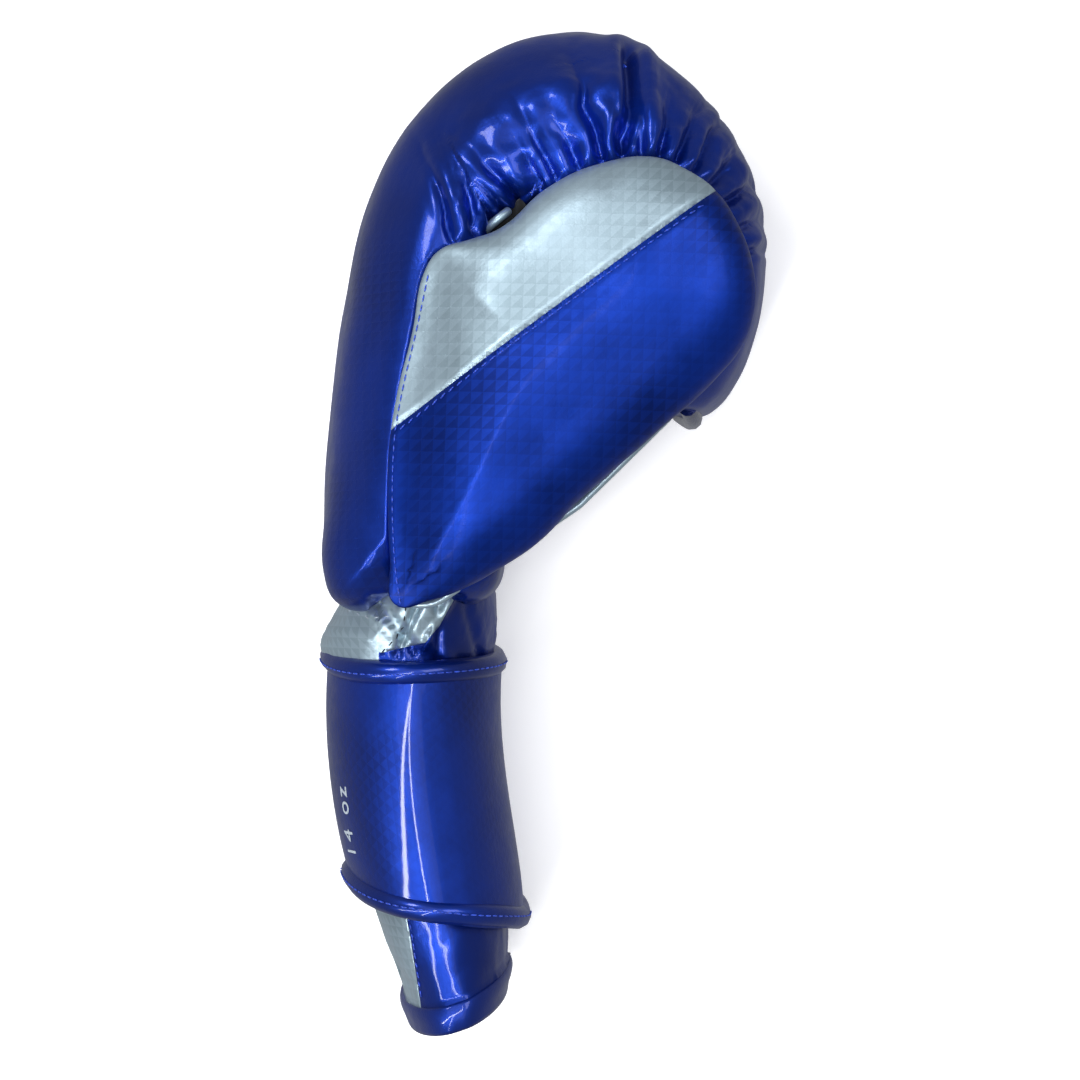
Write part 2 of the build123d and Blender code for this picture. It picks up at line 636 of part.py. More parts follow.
with BuildPart() as cuff_foam:
    add(grown_cuff(-LEATHER - SEAT))
    add(cuff_hollow(LINING + SEAT), mode=Mode.SUBTRACT)
    split(bisect_by=cuff_end, keep=Keep.BOTTOM)
    add(slit, mode=Mode.SUBTRACT)
cuff_foam.part.label = "cuff_foam"
pieces.append(cuff_foam.part)

with BuildPart() as cuff_liner:
    add(cuff_hollow(LINING))
    add(cuff_hollow(0), mode=Mode.SUBTRACT)
    split(bisect_by=cuff_end, keep=Keep.BOTTOM)
    add(slit, mode=Mode.SUBTRACT)
cuff_liner.part.label = "cuff_liner"
pieces.append(cuff_liner.part)

with BuildPart() as bound_edge:
    add(grown_cuff(SEAT))
    add(cuff_hollow(-SEAT), mode=Mode.SUBTRACT)
    split(bisect_by=MOUTH_PLANE.offset(-LEATHER), keep=Keep.BOTTOM)

with BuildPart() as mouth_binding:
    add(grown_cuff(MOUTH_PROUD))
    add(cuff_hollow(-LEATHER), mode=Mode.SUBTRACT)
    split(bisect_by=MOUTH_PLANE.offset(-MOUTH_BINDING), keep=Keep.TOP)
    add(bound_edge.part, mode=Mode.SUBTRACT)
    add(slit, mode=Mode.SUBTRACT)
mouth_binding.part.label = "mouth_binding"
pieces.append(mouth_binding.part)

with BuildPart() as slit_gusset:
    add(grown_cuff(-GUSSET_DEPTH))
    add(grown_cuff(-GUSSET_DEPTH - LEATHER), mode=Mode.SUBTRACT)
    split(bisect_by=MOUTH_PLANE.offset(-MOUTH_BINDING - SEAT), keep=Keep.BOTTOM)
    add(slit_box(SLIT_WIDTH - 2 * SEAT), mode=Mode.INTERSECT)
slit_gusset.part.label = "slit_gusset"
pieces.append(slit_gusset.part)

with BuildPart() as loop_patch:
    add(strap_layer(0, PATCH, PATCH_FROM, PATCH_TO, PATCH_EDGE))
loop_patch.part.label = "loop_patch"
pieces.append(loop_patch.part)

with BuildPart() as strap_anchor:
    add(strap_layer(0, COVER_TOP, STRAP_ROOT + CUT_GAP, STRAP_ROOT + ANCHOR_SPAN, 0))
strap_anchor.part.label = "strap_anchor"
pieces.append(strap_anchor.part)

# ---------------------------------------------------------------- strap pieces
layer_edge = LEATHER + SEAT
inner_from = STRAP_FOLD + CUT_GAP
inner_to = STRAP_ROOT - CUT_GAP
outer_to = STRAP_FOLD - CUT_GAP

with BuildPart() as strap_inner_lining:
    add(strap_layer(BODY_GAP, LINING_TOP, inner_from, inner_to, layer_edge))
strap_inner_lining.part.label = "strap_inner_lining"
pieces.append(strap_inner_lining.part)

with BuildPart() as strap_inner_foam:
    add(strap_layer(LINING_TOP, FOAM_TOP, inner_from, inner_to, layer_edge))
strap_inner_foam.part.label = "strap_inner_foam"
pieces.append(strap_inner_foam.part)

with BuildPart() as strap_inner_cover:
    add(strap_layer(FOAM_TOP, COVER_TOP, inner_from, inner_to, layer_edge))
strap_inner_cover.part.label = "strap_inner_cover"
pieces.append(strap_inner_cover.part)

with BuildPart() as strap_inner_top_binding:
    add(strap_binding(inner_from, inner_to, at_top=True))
strap_inner_top_binding.part.label = "strap_inner_top_binding"
pieces.append(strap_inner_top_binding.part)

with BuildPart() as strap_inner_bottom_binding:
    add(strap_binding(inner_from, inner_to, at_top=False))
strap_inner_bottom_binding.part.label = "strap_inner_bottom_binding"
pieces.append(strap_inner_bottom_binding.part)

patch_room = strap_layer(0, PATCH_ROOM_TOP, PATCH_FROM - PATCH_LAP, PATCH_TO + PATCH_LAP, PATCH_EDGE - PATCH_ROOM)

with BuildPart() as strap_outer_lining:
    add(strap_layer(BODY_GAP, LINING_TOP, STRAP_END + CUT_GAP, outer_to, layer_edge))
    add(patch_room, mode=Mode.SUBTRACT)
strap_outer_lining.part.label = "strap_outer_lining"
pieces.append(strap_outer_lining.part)

with BuildPart() as strap_outer_foam:
    add(strap_layer(LINING_TOP, FOAM_TOP, STRAP_END + CUT_GAP, outer_to, layer_edge))
    add(patch_room, mode=Mode.SUBTRACT)
strap_outer_foam.part.label = "strap_outer_foam"
pieces.append(strap_outer_foam.part)

with BuildPart() as strap_outer_cover:
    add(strap_layer(FOAM_TOP, COVER_TOP, STRAP_END + CUT_GAP, outer_to, layer_edge))
strap_outer_cover.part.label = "strap_outer_cover"
pieces.append(strap_outer_cover.part)

with BuildPart() as strap_outer_top_binding:
    add(strap_binding(STRAP_END + CUT_GAP, outer_to, at_top=True))
strap_outer_top_binding.part.label = "strap_outer_top_binding"
pieces.append(strap_outer_top_binding.part)

with BuildPart() as strap_outer_bottom_binding:
    add(strap_binding(STRAP_END + CUT_GAP, outer_to, at_top=False))
strap_outer_bottom_binding.part.label = "strap_outer_bottom_binding"
pieces.append(strap_outer_bottom_binding.part)

with BuildPart() as strap_end_binding:
    add(strap_layer(BODY_GAP, BINDING_TOP, STRAP_END - END_BINDING, STRAP_END, 0))
    add(strap_layer(COVER_TOP + SEAT, BINDING_TOP, STRAP_END - CUT_GAP, STRAP_END + END_LEG, BINDING + SEAT))
strap_end_binding.part.label = "strap_end_binding"
pieces.append(strap_end_binding.part)

with BuildPart() as hook_patch:
    add(strap_layer(PATCH + BODY_GAP, 2 * PATCH + BODY_GAP, PATCH_FROM, PATCH_TO, PATCH_EDGE))
hook_patch.part.label = "hook_patch"
pieces.append(hook_patch.part)

# ---------------------------------------------------------------- origin and files
whole = Compound(children=[Compound(piece.wrapped) for piece in pieces]).bounding_box()
to_origin = Vector(-(whole.min.X + whole.max.X) / 2, -(whole.min.Y + whole.max.Y) / 2, -whole.min.Z)
os.makedirs("parts", exist_ok=True)
for piece in pieces:
    export_step(piece.moved(Location(to_origin)), f"parts/{piece.label}.step")

# the places of the joints, in the part's own frame
thumb_base_point, thumb_top_point, _ = tangent(THUMB_BASE, THUMB_SHOULDER, 0)
print("moved by", to_origin)
print("thumb seam from", thumb_top_point + to_origin, "to", thumb_base_point + to_origin)
print("cuff axis from", CUFF_AXIS.origin + to_origin, "along", CUFF_AXIS.z_dir)
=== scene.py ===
"""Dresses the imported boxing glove: padded leather, sewn seams, folds, strap, studio floor, light and camera."""

from math import cos, pi, radians, sin

import bmesh
import bpy
import numpy as np
from mathutils import Matrix, Vector, noise
from mathutils.bvhtree import BVHTree


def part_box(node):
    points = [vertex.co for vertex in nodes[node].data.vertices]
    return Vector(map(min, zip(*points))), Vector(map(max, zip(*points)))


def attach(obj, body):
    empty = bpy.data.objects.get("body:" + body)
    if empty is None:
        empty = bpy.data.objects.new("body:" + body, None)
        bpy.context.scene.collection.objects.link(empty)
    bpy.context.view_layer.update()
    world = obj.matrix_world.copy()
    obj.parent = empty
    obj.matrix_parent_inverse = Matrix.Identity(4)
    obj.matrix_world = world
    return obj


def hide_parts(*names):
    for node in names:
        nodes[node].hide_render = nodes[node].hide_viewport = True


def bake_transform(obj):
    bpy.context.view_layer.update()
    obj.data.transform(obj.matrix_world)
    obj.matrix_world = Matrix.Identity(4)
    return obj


bl_info = {
    "name": "Boxing glove",
    "version": (1, 0, 0),
    "blender": (4, 5, 0),
    "location": "View3D > Sidebar > Glove",
    "description": "Padded leather and stitching over the packed glove",
    "category": "Object",
}

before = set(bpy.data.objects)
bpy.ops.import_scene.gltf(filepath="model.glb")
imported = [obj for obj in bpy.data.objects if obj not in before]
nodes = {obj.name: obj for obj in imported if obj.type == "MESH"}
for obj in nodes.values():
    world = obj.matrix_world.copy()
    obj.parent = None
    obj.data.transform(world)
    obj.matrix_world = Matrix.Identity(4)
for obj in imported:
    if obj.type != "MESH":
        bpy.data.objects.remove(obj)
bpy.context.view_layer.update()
MM = 0.001
# glove millimetres: x from the back of the hand to the palm, y to the knuckles, z up to the thumb;
# their zero is found from the mitt's back
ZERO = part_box("back_shell")[0] + Vector((72.47, 20.5, 0)) * MM
ZERO.z = 0

# outlines seen from the thumb side, in glove millimetres
MITT_EDGE = (
    (-66.4, -21.3), (-72.2, -10.1), (-73.2, 7.0), (-72.2, 31.0), (-69.8, 55.0), (-66.4, 78.9),
    (-62.0, 102.9), (-56.2, 120.0), (-49.3, 133.7), (-39.0, 147.4), (-28.8, 157.7), (-16.8, 165.6),
    (-3.1, 170.7), (8.9, 172.4), (20.9, 171.4), (34.5, 167.2), (48.2, 157.7), (60.2, 145.7),
    (68.8, 132.0), (74.7, 116.6), (77.0, 99.4), (76.4, 82.4), (72.9, 66.9), (67.1, 53.2),
    (61.3, 45.4), (55.2, 42.0), (48.2, 43.0), (36.0, 45.5), (25.0, 50.0), (18.5, 58.0),
    (17.0, 70.0), (17.0, 82.0), (13.2, 91.2), (4.0, 95.0), (-5.2, 91.2), (-9.0, 82.0),
    (-10.0, 60.0), (-11.0, 30.0), (-12.0, 0.0), (-14.0, -16.0), (-22.0, -21.5), (-45.0, -22.5),
)
THUMB_EDGE = (
    (-46.7, -20.9), (-48.3, -6.3), (-49.0, 13.2), (-48.3, 32.7), (-45.7, 48.8), (-41.0, 69.0),
    (-37.0, 87.8), (-32.2, 94.3), (-22.4, 97.6), (-12.6, 101.4), (1.9, 113.7), (19.8, 121.9),
    (36.0, 124.5), (49.0, 119.6), (57.1, 113.7), (64.6, 102.4), (69.2, 87.8), (69.8, 74.8),
    (65.2, 61.8), (58.8, 53.7), (49.0, 44.0), (39.3, 35.9), (26.3, 24.6), (13.3, 13.2),
    (0.3, 0.2), (-12.6, -8.9), (-22.4, -14.4), (-35.3, -19.3),
)
HOLLOW_EDGE = (
    (-52.5, -60.0), (-51.5, 0.0), (-49.0, 40.0), (-45.5, 72.0), (-40.0, 88.0), (-30.0, 94.0),
    (-22.0, 86.0), (-23.0, 60.0), (-26.0, 20.0), (-28.0, 0.0), (-29.0, -60.0),
)
LEFT_SEAM = (
    (-46.9, -19.5), (-48.5, -6.3), (-49.2, 13.2), (-48.5, 32.7), (-45.9, 48.8), (-41.2, 69.0), (-37.4, 87.0),
)
COLOUR_SEAM = ((-46.2, 37.1), (56.5, 112.5))
UPPER_EDGE = (
    (-33.0, 94.5), (-22.4, 98.0), (-12.6, 101.4), (1.9, 113.7), (19.8, 121.9),
    (36.0, 124.5), (49.0, 119.6), (57.1, 113.7), (64.6, 102.4), (69.2, 87.8),
)
OPENING = ((-14.5, 104.0), (-8.0, 109.5), (-3.5, 112.0))
LONG_FOLD = ((30.0, 163.0), (30.5, 150.0), (30.0, 140.0), (27.0, 127.0))
# middle lines of the small rolled pieces round the thumb and on the fingertip lip
LIP_LINE = ((49.5, 44.5, 20), (52.0, 41.6, 32), (53.0, 40.8, 54), (52.0, 41.6, 76), (49.5, 44.5, 90))
SEAM_ROLL_LINE = (
    (-5.0, 111.5, 112), (-2.5, 114.2, 116), (2.0, 116.6, 118.5),
    (9.0, 120.2, 119), (17.0, 123.8, 117), (24.0, 125.8, 112),
)
# the elastic band runs along the opening between thumb and dome, where its near-black colour is partly painted shade
ELASTIC_LINE = ((-14.5, 102.0, 108), (-10.0, 106.5, 112.5), (-5.0, 110.5, 112))
TAB_LINE = ((-17.5, 101.6, 113), (-15.5, 103.4, 117.5), (-12.0, 106.0, 118.5), (-10.2, 107.6, 115.5))
TACKS = ((-2.4, 114.2), (0.2, 115.6))
# the wrist: rings as centre, half thickness and half width; pleats as start, end, width and height
WRIST_RINGS = (
    ((-40, -8, 57), 24, 40), ((-40.5, -19, 57), 25.5, 43), ((-43.0, -27, 55), 28.5, 42.5),
    ((-45.0, -34, 54), 30.0, 42), ((-45.2, -40, 53.5), 29.0, 41), ((-44.6, -46, 53.2), 26.4, 40.6),
)
WRIST_PLEATS = (
    ((-62, -20), (-48, -31), 1.3, 1.8), ((-54, -19), (-42, -36), 1.6, -2.6), ((-46, -24), (-30, -40), 2.2, 1.6),
    ((-39, -19), (-47, -37), 1.3, -2.2), ((-33, -20), (-34, -44), 1.5, -1.8), ((-28, -17), (-38, -35), 1.4, 2.2),
    ((-70, -30), (-55, -33), 1.6, 1.2), ((-24, -22), (-19, -42), 1.8, -1.4),
)
WRIST_BORDER = ((-53.4, -60), (-53.3, -37.5), (-37.7, -33.8), (-33.0, -28.2), (-28.0, -19.2), (-25.7, 5))
WRIST_FOLD_SEAM = ((-44.2, -22.5), (-45.4, -29.0), (-50.0, -35.0), (-53.4, -38.0))
WRIST_PLEAT_SEAM = ((-63.5, -23.5), (-56.0, -25.5), (-48.0, -25.0))
CUFF_BORDER = ((-50, 20), (-45.5, -120), (-43.2, -132.0), (-39.5, -158.8), (-38.5, -200))
MOUTH_SEAM = ((-46, -153), (-40, -153.5), (-33, -153), (-26, -150.5), (-20, -147.5), (-15, -145))
MIDDLE = 54.0  # height of the mitt's middle
HOLLOW_HALF = 46.0  # half the height of the hand's hollow
THUMB_MIDDLE = 125.0
LEATHER = 1.2  # thickness of the wrist's and the cuff's leather
STITCH_SINK = 0.1  # how deep stitches lie in the leather
ABOVE = 220.0  # a height over everything, from which stitches are laid
EYE_HEIGHT = 1400.0
CUFF_AXIS = (Vector((-43.0, -58.0, 52.5)), Vector((0.131404, -0.989398, -0.061837)).normalized())


# ---------------------------------------------------------------- small helpers
def linear(code):
    """Linear colour of an sRGB hex value."""
    channels = [int(code[i : i + 2], 16) / 255 for i in (1, 3, 5)]
    return [c / 12.92 if c <= 0.04045 else ((c + 0.055) / 1.055) ** 2.4 for c in channels] + [1.0]


def settings():
    return bpy.context.scene.glove_settings


def at(x, y, z):
    """A point in metres from glove millimetres."""
    return ZERO + Vector((x, y, z)) * MM


def points_of(piece):
    """A piece's points in glove millimetres."""
    flat = np.empty(len(piece.data.vertices) * 3)
    piece.data.vertices.foreach_get("co", flat)
    return (flat.reshape(-1, 3) - np.array(ZERO)) / MM


def move_points(piece, points):
    piece.data.vertices.foreach_set("co", (points * MM + np.array(ZERO)).ravel())
    piece.data.update()


def directions_of(piece):
    flat = np.empty(len(piece.data.vertices) * 3)
    piece.data.vertices.foreach_get("normal", flat)
    return flat.reshape(-1, 3)


def ease(x, low, high):
    """0 below low, 1 above high, and smooth between."""
    t = np.clip((np.asarray(x, float) - low) / (high - low), 0, 1)
    return t * t * (3 - 2 * t)


def waves(points, size, seed=0.0, depth=2):
    """Smooth unevenness from -1 to 1 over points in millimetres."""
    shift = Vector((seed, seed * 1.7, seed * 0.3))
    return np.array([noise.fractal(Vector(p) / size + shift, 1.0, 2.0, depth) for p in points])


def placed(name, data):
    """A new object in the scene that holds some data."""
    item = bpy.data.objects.new(name, data)
    bpy.context.scene.collection.objects.link(item)
    return item


def new_piece(name, bm):
    mesh = bpy.data.meshes.new(name)
    bm.to_mesh(mesh)
    bm.free()
    return placed(name, mesh)


def mesh_of(name, shape):
    """The mesh of a curve or a text."""
    holder = placed(name, shape)
    bpy.context.view_layer.update()
    mesh = bpy.data.meshes.new_from_object(holder)
    bpy.data.objects.remove(holder)
    return mesh


def tree_of(piece):
    """A search tree over a piece's faces."""
    return BVHTree.FromPolygons([v.co for v in piece.data.vertices], [f.vertices for f in piece.data.polygons])


def made_solid(piece):
    """Bakes a piece's modifiers into its mesh."""
    view = bpy.context.evaluated_depsgraph_get()
    mesh = bpy.data.meshes.new_from_object(piece.evaluated_get(view), depsgraph=view)
    piece.modifiers.clear()
    old = piece.data
    piece.data = mesh
    mesh.name = piece.name
    bpy.data.meshes.remove(old)
    return piece


def thicken(piece, thickness, offset=-1):
    """Gives a sheet its thickness in millimetres, inwards unless offset is 1."""
    solid = piece.modifiers.new("thickness", "SOLIDIFY")
    solid.thickness = thickness * MM
    solid.offset = offset
    return made_solid(piece)


def edge_curve(name, edge):
    """A smooth closed curve through an outline's points."""
    curve = bpy.data.curves.new(name, "CURVE")
    curve.dimensions = "2D"
    spline = curve.splines.new("BEZIER")
    spline.bezier_points.add(len(edge) - 1)
    for knot, (x, y) in zip(spline.bezier_points, edge):
        knot.co = (x * MM, y * MM, 0)
        knot.handle_left_type = knot.handle_right_type = "AUTO"
    spline.use_cyclic_u = True
    spline.resolution_u = 8
    return curve


def edge_line(edge):
    """The smooth outline as an array of points, in millimetres."""
    curve = edge_curve("outline", edge)
    curve.fill_mode = "NONE"
    return np.array([v.co[:2] for v in mesh_of("outline", curve).vertices]) / MM


def pillow(name, edge, low, high, round_by):
    """A slab of the outline's shape with fully rounded rims, as a mesh."""
    curve = edge_curve(name, edge)
    curve.fill_mode = "BOTH"
    curve.extrude = ((high - low) / 2 - round_by) * MM
    curve.bevel_depth = round_by * MM
    curve.offset = -round_by * MM
    curve.bevel_resolution = 6
    mesh = mesh_of(name, curve)
    mesh.transform(Matrix.Translation(at(0, 0, (low + high) / 2)))
    return placed(name, mesh)


def even(piece, cell, rounds):
    """Evens out a piece's mesh into small quads, then smooths it."""
    remesh = piece.modifiers.new("even", "REMESH")
    remesh.mode = "VOXEL"
    remesh.voxel_size = cell * MM
    calm = piece.modifiers.new("calm", "SMOOTH")
    calm.factor = 0.5
    calm.iterations = rounds
    return made_solid(piece)


def from_line(points, line, closed=True):
    """Distance of each point to a line, share of the line's length at the nearest place, and which side it is on."""
    ends = np.roll(line, -1, axis=0) if closed else line[1:]
    starts = line if closed else line[:-1]
    steps = ends - starts
    lengths = np.maximum(np.linalg.norm(steps, axis=1), 1e-9)
    along = np.concatenate([[0], np.cumsum(lengths)])
    best = np.full(len(points), 1e9)
    where = np.zeros(len(points))
    side = np.zeros(len(points))
    flat = points[:, :2]
    for i in range(len(starts)):
        rel = flat - starts[i]
        t = np.clip(rel @ steps[i] / lengths[i] ** 2, 0, 1)
        gap = rel - t[:, None] * steps[i]
        d = np.hypot(gap[:, 0], gap[:, 1])
        near = d < best
        best[near] = d[near]
        where[near] = along[i] + t[near] * lengths[i]
        side[near] = (steps[i][0] * rel[near, 1] - steps[i][1] * rel[near, 0]) / lengths[i]
    return best, where, side


def inside(points, line):
    """Which points lie inside a closed outline."""
    x, y = points[:, 0], points[:, 1]
    found = np.zeros(len(points), bool)
    for (x0, y0), (x1, y1) in zip(line, np.roll(line, -1, axis=0)):
        crosses = (y0 > y) != (y1 > y)
        if y1 != y0:
            found ^= crosses & (x < (x1 - x0) * (y - y0) / (y1 - y0) + x0)
    return found


def smooth_line(points, step=1.0):
    """Evenly spaced points along a soft line through the given ones."""
    p = np.array(points, float)
    ends = np.vstack([2 * p[0] - p[1], p, 2 * p[-1] - p[-2]])
    out = []
    for i in range(len(p) - 1):
        a, b, c, d = ends[i : i + 4]
        square, cube = 2 * a - 5 * b + 4 * c - d, 3 * b - a - 3 * c + d
        for t in np.linspace(0, 1, 16, endpoint=False):
            out.append(0.5 * (2 * b + (c - a) * t + square * t**2 + cube * t**3))
    out.append(p[-1])
    out = np.array(out)
    run = np.concatenate([[0], np.cumsum(np.linalg.norm(np.diff(out, axis=0), axis=1))])
    places = np.arange(0, run[-1], step)
    return np.stack([np.interp(places, run, out[:, k]) for k in range(out.shape[1])], axis=1)


def cut_piece(piece, name, planes):
    """A closed copy of a piece, kept on the positive side of each plane (point, direction)."""
    bm = bmesh.new()
    bm.from_mesh(piece.data)
    for point, direction in planes:
        cut = bmesh.ops.bisect_plane(
            bm,
            geom=bm.verts[:] + bm.edges[:] + bm.faces[:],
            dist=1e-7,
            plane_co=at(*point),
            plane_no=Vector(direction),
            clear_inner=True,
        )
        rim = [e for e in cut["geom_cut"] if isinstance(e, bmesh.types.BMEdge)]
        bmesh.ops.holes_fill(bm, edges=rim, sides=0)
    bmesh.ops.recalc_face_normals(bm, faces=bm.faces[:])
    part = new_piece(name, bm)
    for face in part.data.polygons:
        face.use_smooth = len(face.vertices) < 5
    return part


def wrap_marks(piece, pairs):
    """Writes where each point lies on the leather, in decimetres, as the UV map that the embossing follows."""
    layer = piece.data.uv_layers.get("leather") or piece.data.uv_layers.new(name="leather")
    corners = np.empty(len(piece.data.loops), int)
    piece.data.loops.foreach_get("vertex_index", corners)
    layer.data.foreach_set("uv", (pairs[corners] / 100).ravel())


def finish_piece(piece, stuff, smooth=True):
    piece.data.materials.clear()
    piece.data.materials.append(stuff)
    if smooth:
        piece.data.polygons.foreach_set("use_smooth", [len(f.vertices) < 5 for f in piece.data.polygons])
    return piece


# ---------------------------------------------------------------- materials
def add(tree, kind, links=(), **values):
    """Adds a node, sets its properties or input values by name, and links its inputs from (input, output) pairs."""
    node = tree.nodes.new(kind)
    for key, value in values.items():
        if hasattr(node, key):
            setattr(node, key, value)
        else:
            node.inputs[int(key[1:]) if key[0] == "_" else key.replace("_", " ")].default_value = value
    for socket, source in links:
        tree.links.new(source, node.inputs[socket])
    return node


def blank(name):
    stuff = bpy.data.materials.new(name)
    stuff.use_nodes = True
    stuff.node_tree.nodes.clear()
    return stuff, stuff.node_tree


def close(tree, shader):
    out = add(tree, "ShaderNodeOutputMaterial")
    tree.links.new(shader.outputs[0], out.inputs[0])


def maths(tree, operation, links=(), **values):
    return add(tree, "ShaderNodeMath", links, operation=operation, **values).outputs[0]


def ranged(tree, source, low, high, least, most):
    return add(tree, "ShaderNodeMapRange", [(0, source)], _1=low, _2=high, _3=least, _4=most).outputs[0]


def two_colours(tree, share, first, second):
    """A mix of two hex colours by a share."""
    paint = add(tree, "ShaderNodeMix", [(0, share)], data_type="RGBA")
    paint.inputs[6].default_value = linear(first)
    paint.inputs[7].default_value = linear(second)
    return paint.outputs[2]


def coated_leather(
    name, colour, dark, metallic, rough, pitch=0, emboss=0,
    grain=0.35, tilt=0.0, blotch_and_facet_shade=0.12, crease=0.5, coat=0.25, coat_rough=0.15,
):
    """Polyurethane-coated leather with a pearl foil: a soft metal sheen under a clear skin, small wrinkles, random
    darker blotches, and an embossed grid of split squares of the given pitch in millimetres (0: none), with one half
    of each square painted darker as painted shade."""
    stuff, tree = blank(name)
    marks = add(tree, "ShaderNodeUVMap", uv_map="leather").outputs[0]
    place = add(tree, "ShaderNodeTexCoord").outputs["Object"]
    worn = add(tree, "ShaderNodeTexNoise", [("Vector", place)], Scale=22.0, Detail=2.0).outputs[0]
    stretched = add(tree, "ShaderNodeAttribute", attribute_name="smooth_part").outputs["Fac"]
    kept = maths(tree, "SUBTRACT", [(1, stretched)], _0=1.0)
    clear = maths(tree, "MULTIPLY", [(0, ranged(tree, worn, 0.38, 0.62, 0.35, 1.0)), (1, kept)])
    fine = add(tree, "ShaderNodeTexNoise", [("Vector", place)], Scale=1400.0, Detail=3.0, Roughness=0.6).outputs[0]
    soft = add(tree, "ShaderNodeTexNoise", [("Vector", place)], Scale=120.0, Detail=3.0, Roughness=0.55).outputs[0]
    height = maths(tree, "MULTIPLY", [(0, soft)], _1=crease)
    height = maths(tree, "MULTIPLY_ADD", [(0, fine), (2, height)], _1=grain * 0.4)
    # tone: random darker blotches on plain leather; on embossed leather, painted shade on one half of each square
    tone = worn
    if pitch:
        spacing, turn = (100 / pitch,) * 3, (0, 0, radians(tilt))
        grid = add(tree, "ShaderNodeMapping", [("Vector", marks)], Scale=spacing, Rotation=turn).outputs[0]
        cell = add(tree, "ShaderNodeVectorMath", [(0, grid)], operation="FRACTION").outputs[0]
        u, v = add(tree, "ShaderNodeSeparateXYZ", [(0, cell)]).outputs[:2]
        gap = maths(tree, "SUBTRACT", [(0, u), (1, v)])
        ridge = maths(tree, "ABSOLUTE", [(0, gap)])
        # the half of each square on one side of its diagonal is painted darker: painted shade of that facet
        upper = maths(tree, "GREATER_THAN", [(0, gap)], _1=0.0)
        shaped = maths(tree, "MULTIPLY", [(0, ridge), (1, clear)])
        height = maths(tree, "MULTIPLY_ADD", [(0, shaped), (2, height)], _1=emboss)
        tone = maths(tree, "MULTIPLY", [(0, upper), (1, clear)])
    blotch = ranged(tree, worn, 0.3, 0.7, 0.0, 0.5)
    share = maths(tree, "MULTIPLY_ADD", [(0, tone), (2, blotch)], _1=blotch_and_facet_shade * 3)
    paint = two_colours(tree, share, colour, dark)
    roughness = ranged(tree, soft, 0.3, 0.7, rough * 0.85, rough * 1.2)
    bump = add(tree, "ShaderNodeBump", [("Height", height)], Strength=0.55, Distance=0.0006)
    shader = add(
        tree,
        "ShaderNodeBsdfPrincipled",
        [("Base Color", paint), ("Roughness", roughness), ("Normal", bump.outputs[0])],
        Metallic=metallic,
    )
    shader.inputs["Coat Weight"].default_value = coat
    shader.inputs["Coat Roughness"].default_value = coat_rough
    shader.inputs["Specular IOR Level"].default_value = 0.3
    close(tree, shader)
    return stuff


def cloth(name, colour, dark, pitch, sheen=0.4):
    """Woven or brushed polyester: matt threads with a faint fuzz that catches light at the rim."""
    stuff, tree = blank(name)
    place = add(tree, "ShaderNodeTexCoord").outputs["Object"]
    spacing = 1000 / pitch / 6.283
    rows = add(tree, "ShaderNodeTexWave", [("Vector", place)], wave_type="BANDS", Scale=spacing, Distortion=1.5)
    fuzz = add(tree, "ShaderNodeTexNoise", [("Vector", place)], Scale=900.0, Detail=3.0)
    mixed = maths(tree, "MULTIPLY", [(0, rows.outputs[1]), (1, fuzz.outputs[0])])
    paint = two_colours(tree, mixed, dark, colour)
    bump = add(tree, "ShaderNodeBump", [("Height", mixed)], Strength=0.6, Distance=0.0004)
    shader = add(tree, "ShaderNodeBsdfPrincipled", [("Base Color", paint), ("Normal", bump.outputs[0])], Roughness=0.9)
    shader.inputs["Sheen Weight"].default_value = sheen
    close(tree, shader)
    return stuff


def thread(name, colour, dark):
    """Bonded polyester thread: satin, with a fine twist."""
    stuff, tree = blank(name)
    place = add(tree, "ShaderNodeTexCoord").outputs["Object"]
    lines = dict(wave_type="BANDS", bands_direction="DIAGONAL", Scale=400.0)
    twist = add(tree, "ShaderNodeTexWave", [("Vector", place)], **lines).outputs[1]
    paint = two_colours(tree, twist, dark, colour)
    bump = add(tree, "ShaderNodeBump", [("Height", twist)], Strength=0.4, Distance=0.0002).outputs[0]
    close(tree, add(tree, "ShaderNodeBsdfPrincipled", [("Base Color", paint), ("Normal", bump)], Roughness=0.45))
    return stuff


# each leather: name, colour, share of metal, roughness, and what else sets it apart
LEATHERS = {
    "back": ("blue_leather_fine_emboss", "blue", 0.78, 0.34,
             dict(pitch=3.2, emboss=0.16, tilt=4, blotch_and_facet_shade=0.07, coat=0.32, coat_rough=0.1)),
    "thumb_blue": ("blue_leather_emboss", "blue", 0.8, 0.42,
                   dict(pitch=3.9, emboss=0.1, tilt=2, blotch_and_facet_shade=0.1, coat=0.03)),
    "thumb_silver": ("silver_leather_emboss", "silver", 0.72, 0.44,
                     dict(pitch=3.9, emboss=0.11, tilt=2, blotch_and_facet_shade=0.08, coat=0.05)),
    "wrist_silver": ("silver_leather_creased", "silver", 0.7, 0.36, dict(pitch=3.6, emboss=0.12, crease=1.0)),
    "wrist_blue": ("blue_leather_creased", "blue", 0.8, 0.36, dict(crease=0.9, coat=0.35, coat_rough=0.08)),
    "strap": ("blue_leather_diamonds", "blue", 0.8, 0.44,
              dict(pitch=3.0, emboss=0.1, tilt=45, blotch_and_facet_shade=0.06, coat=0.5, coat_rough=0.06)),
    "rolled": ("blue_leather_binding", "blue", 0.75, 0.36, dict(grain=0.4, coat=0.5, coat_rough=0.07)),
    "lip": ("dark_leather_binding", "dark", 0.4, 0.22, dict(coat=0.6)),
}
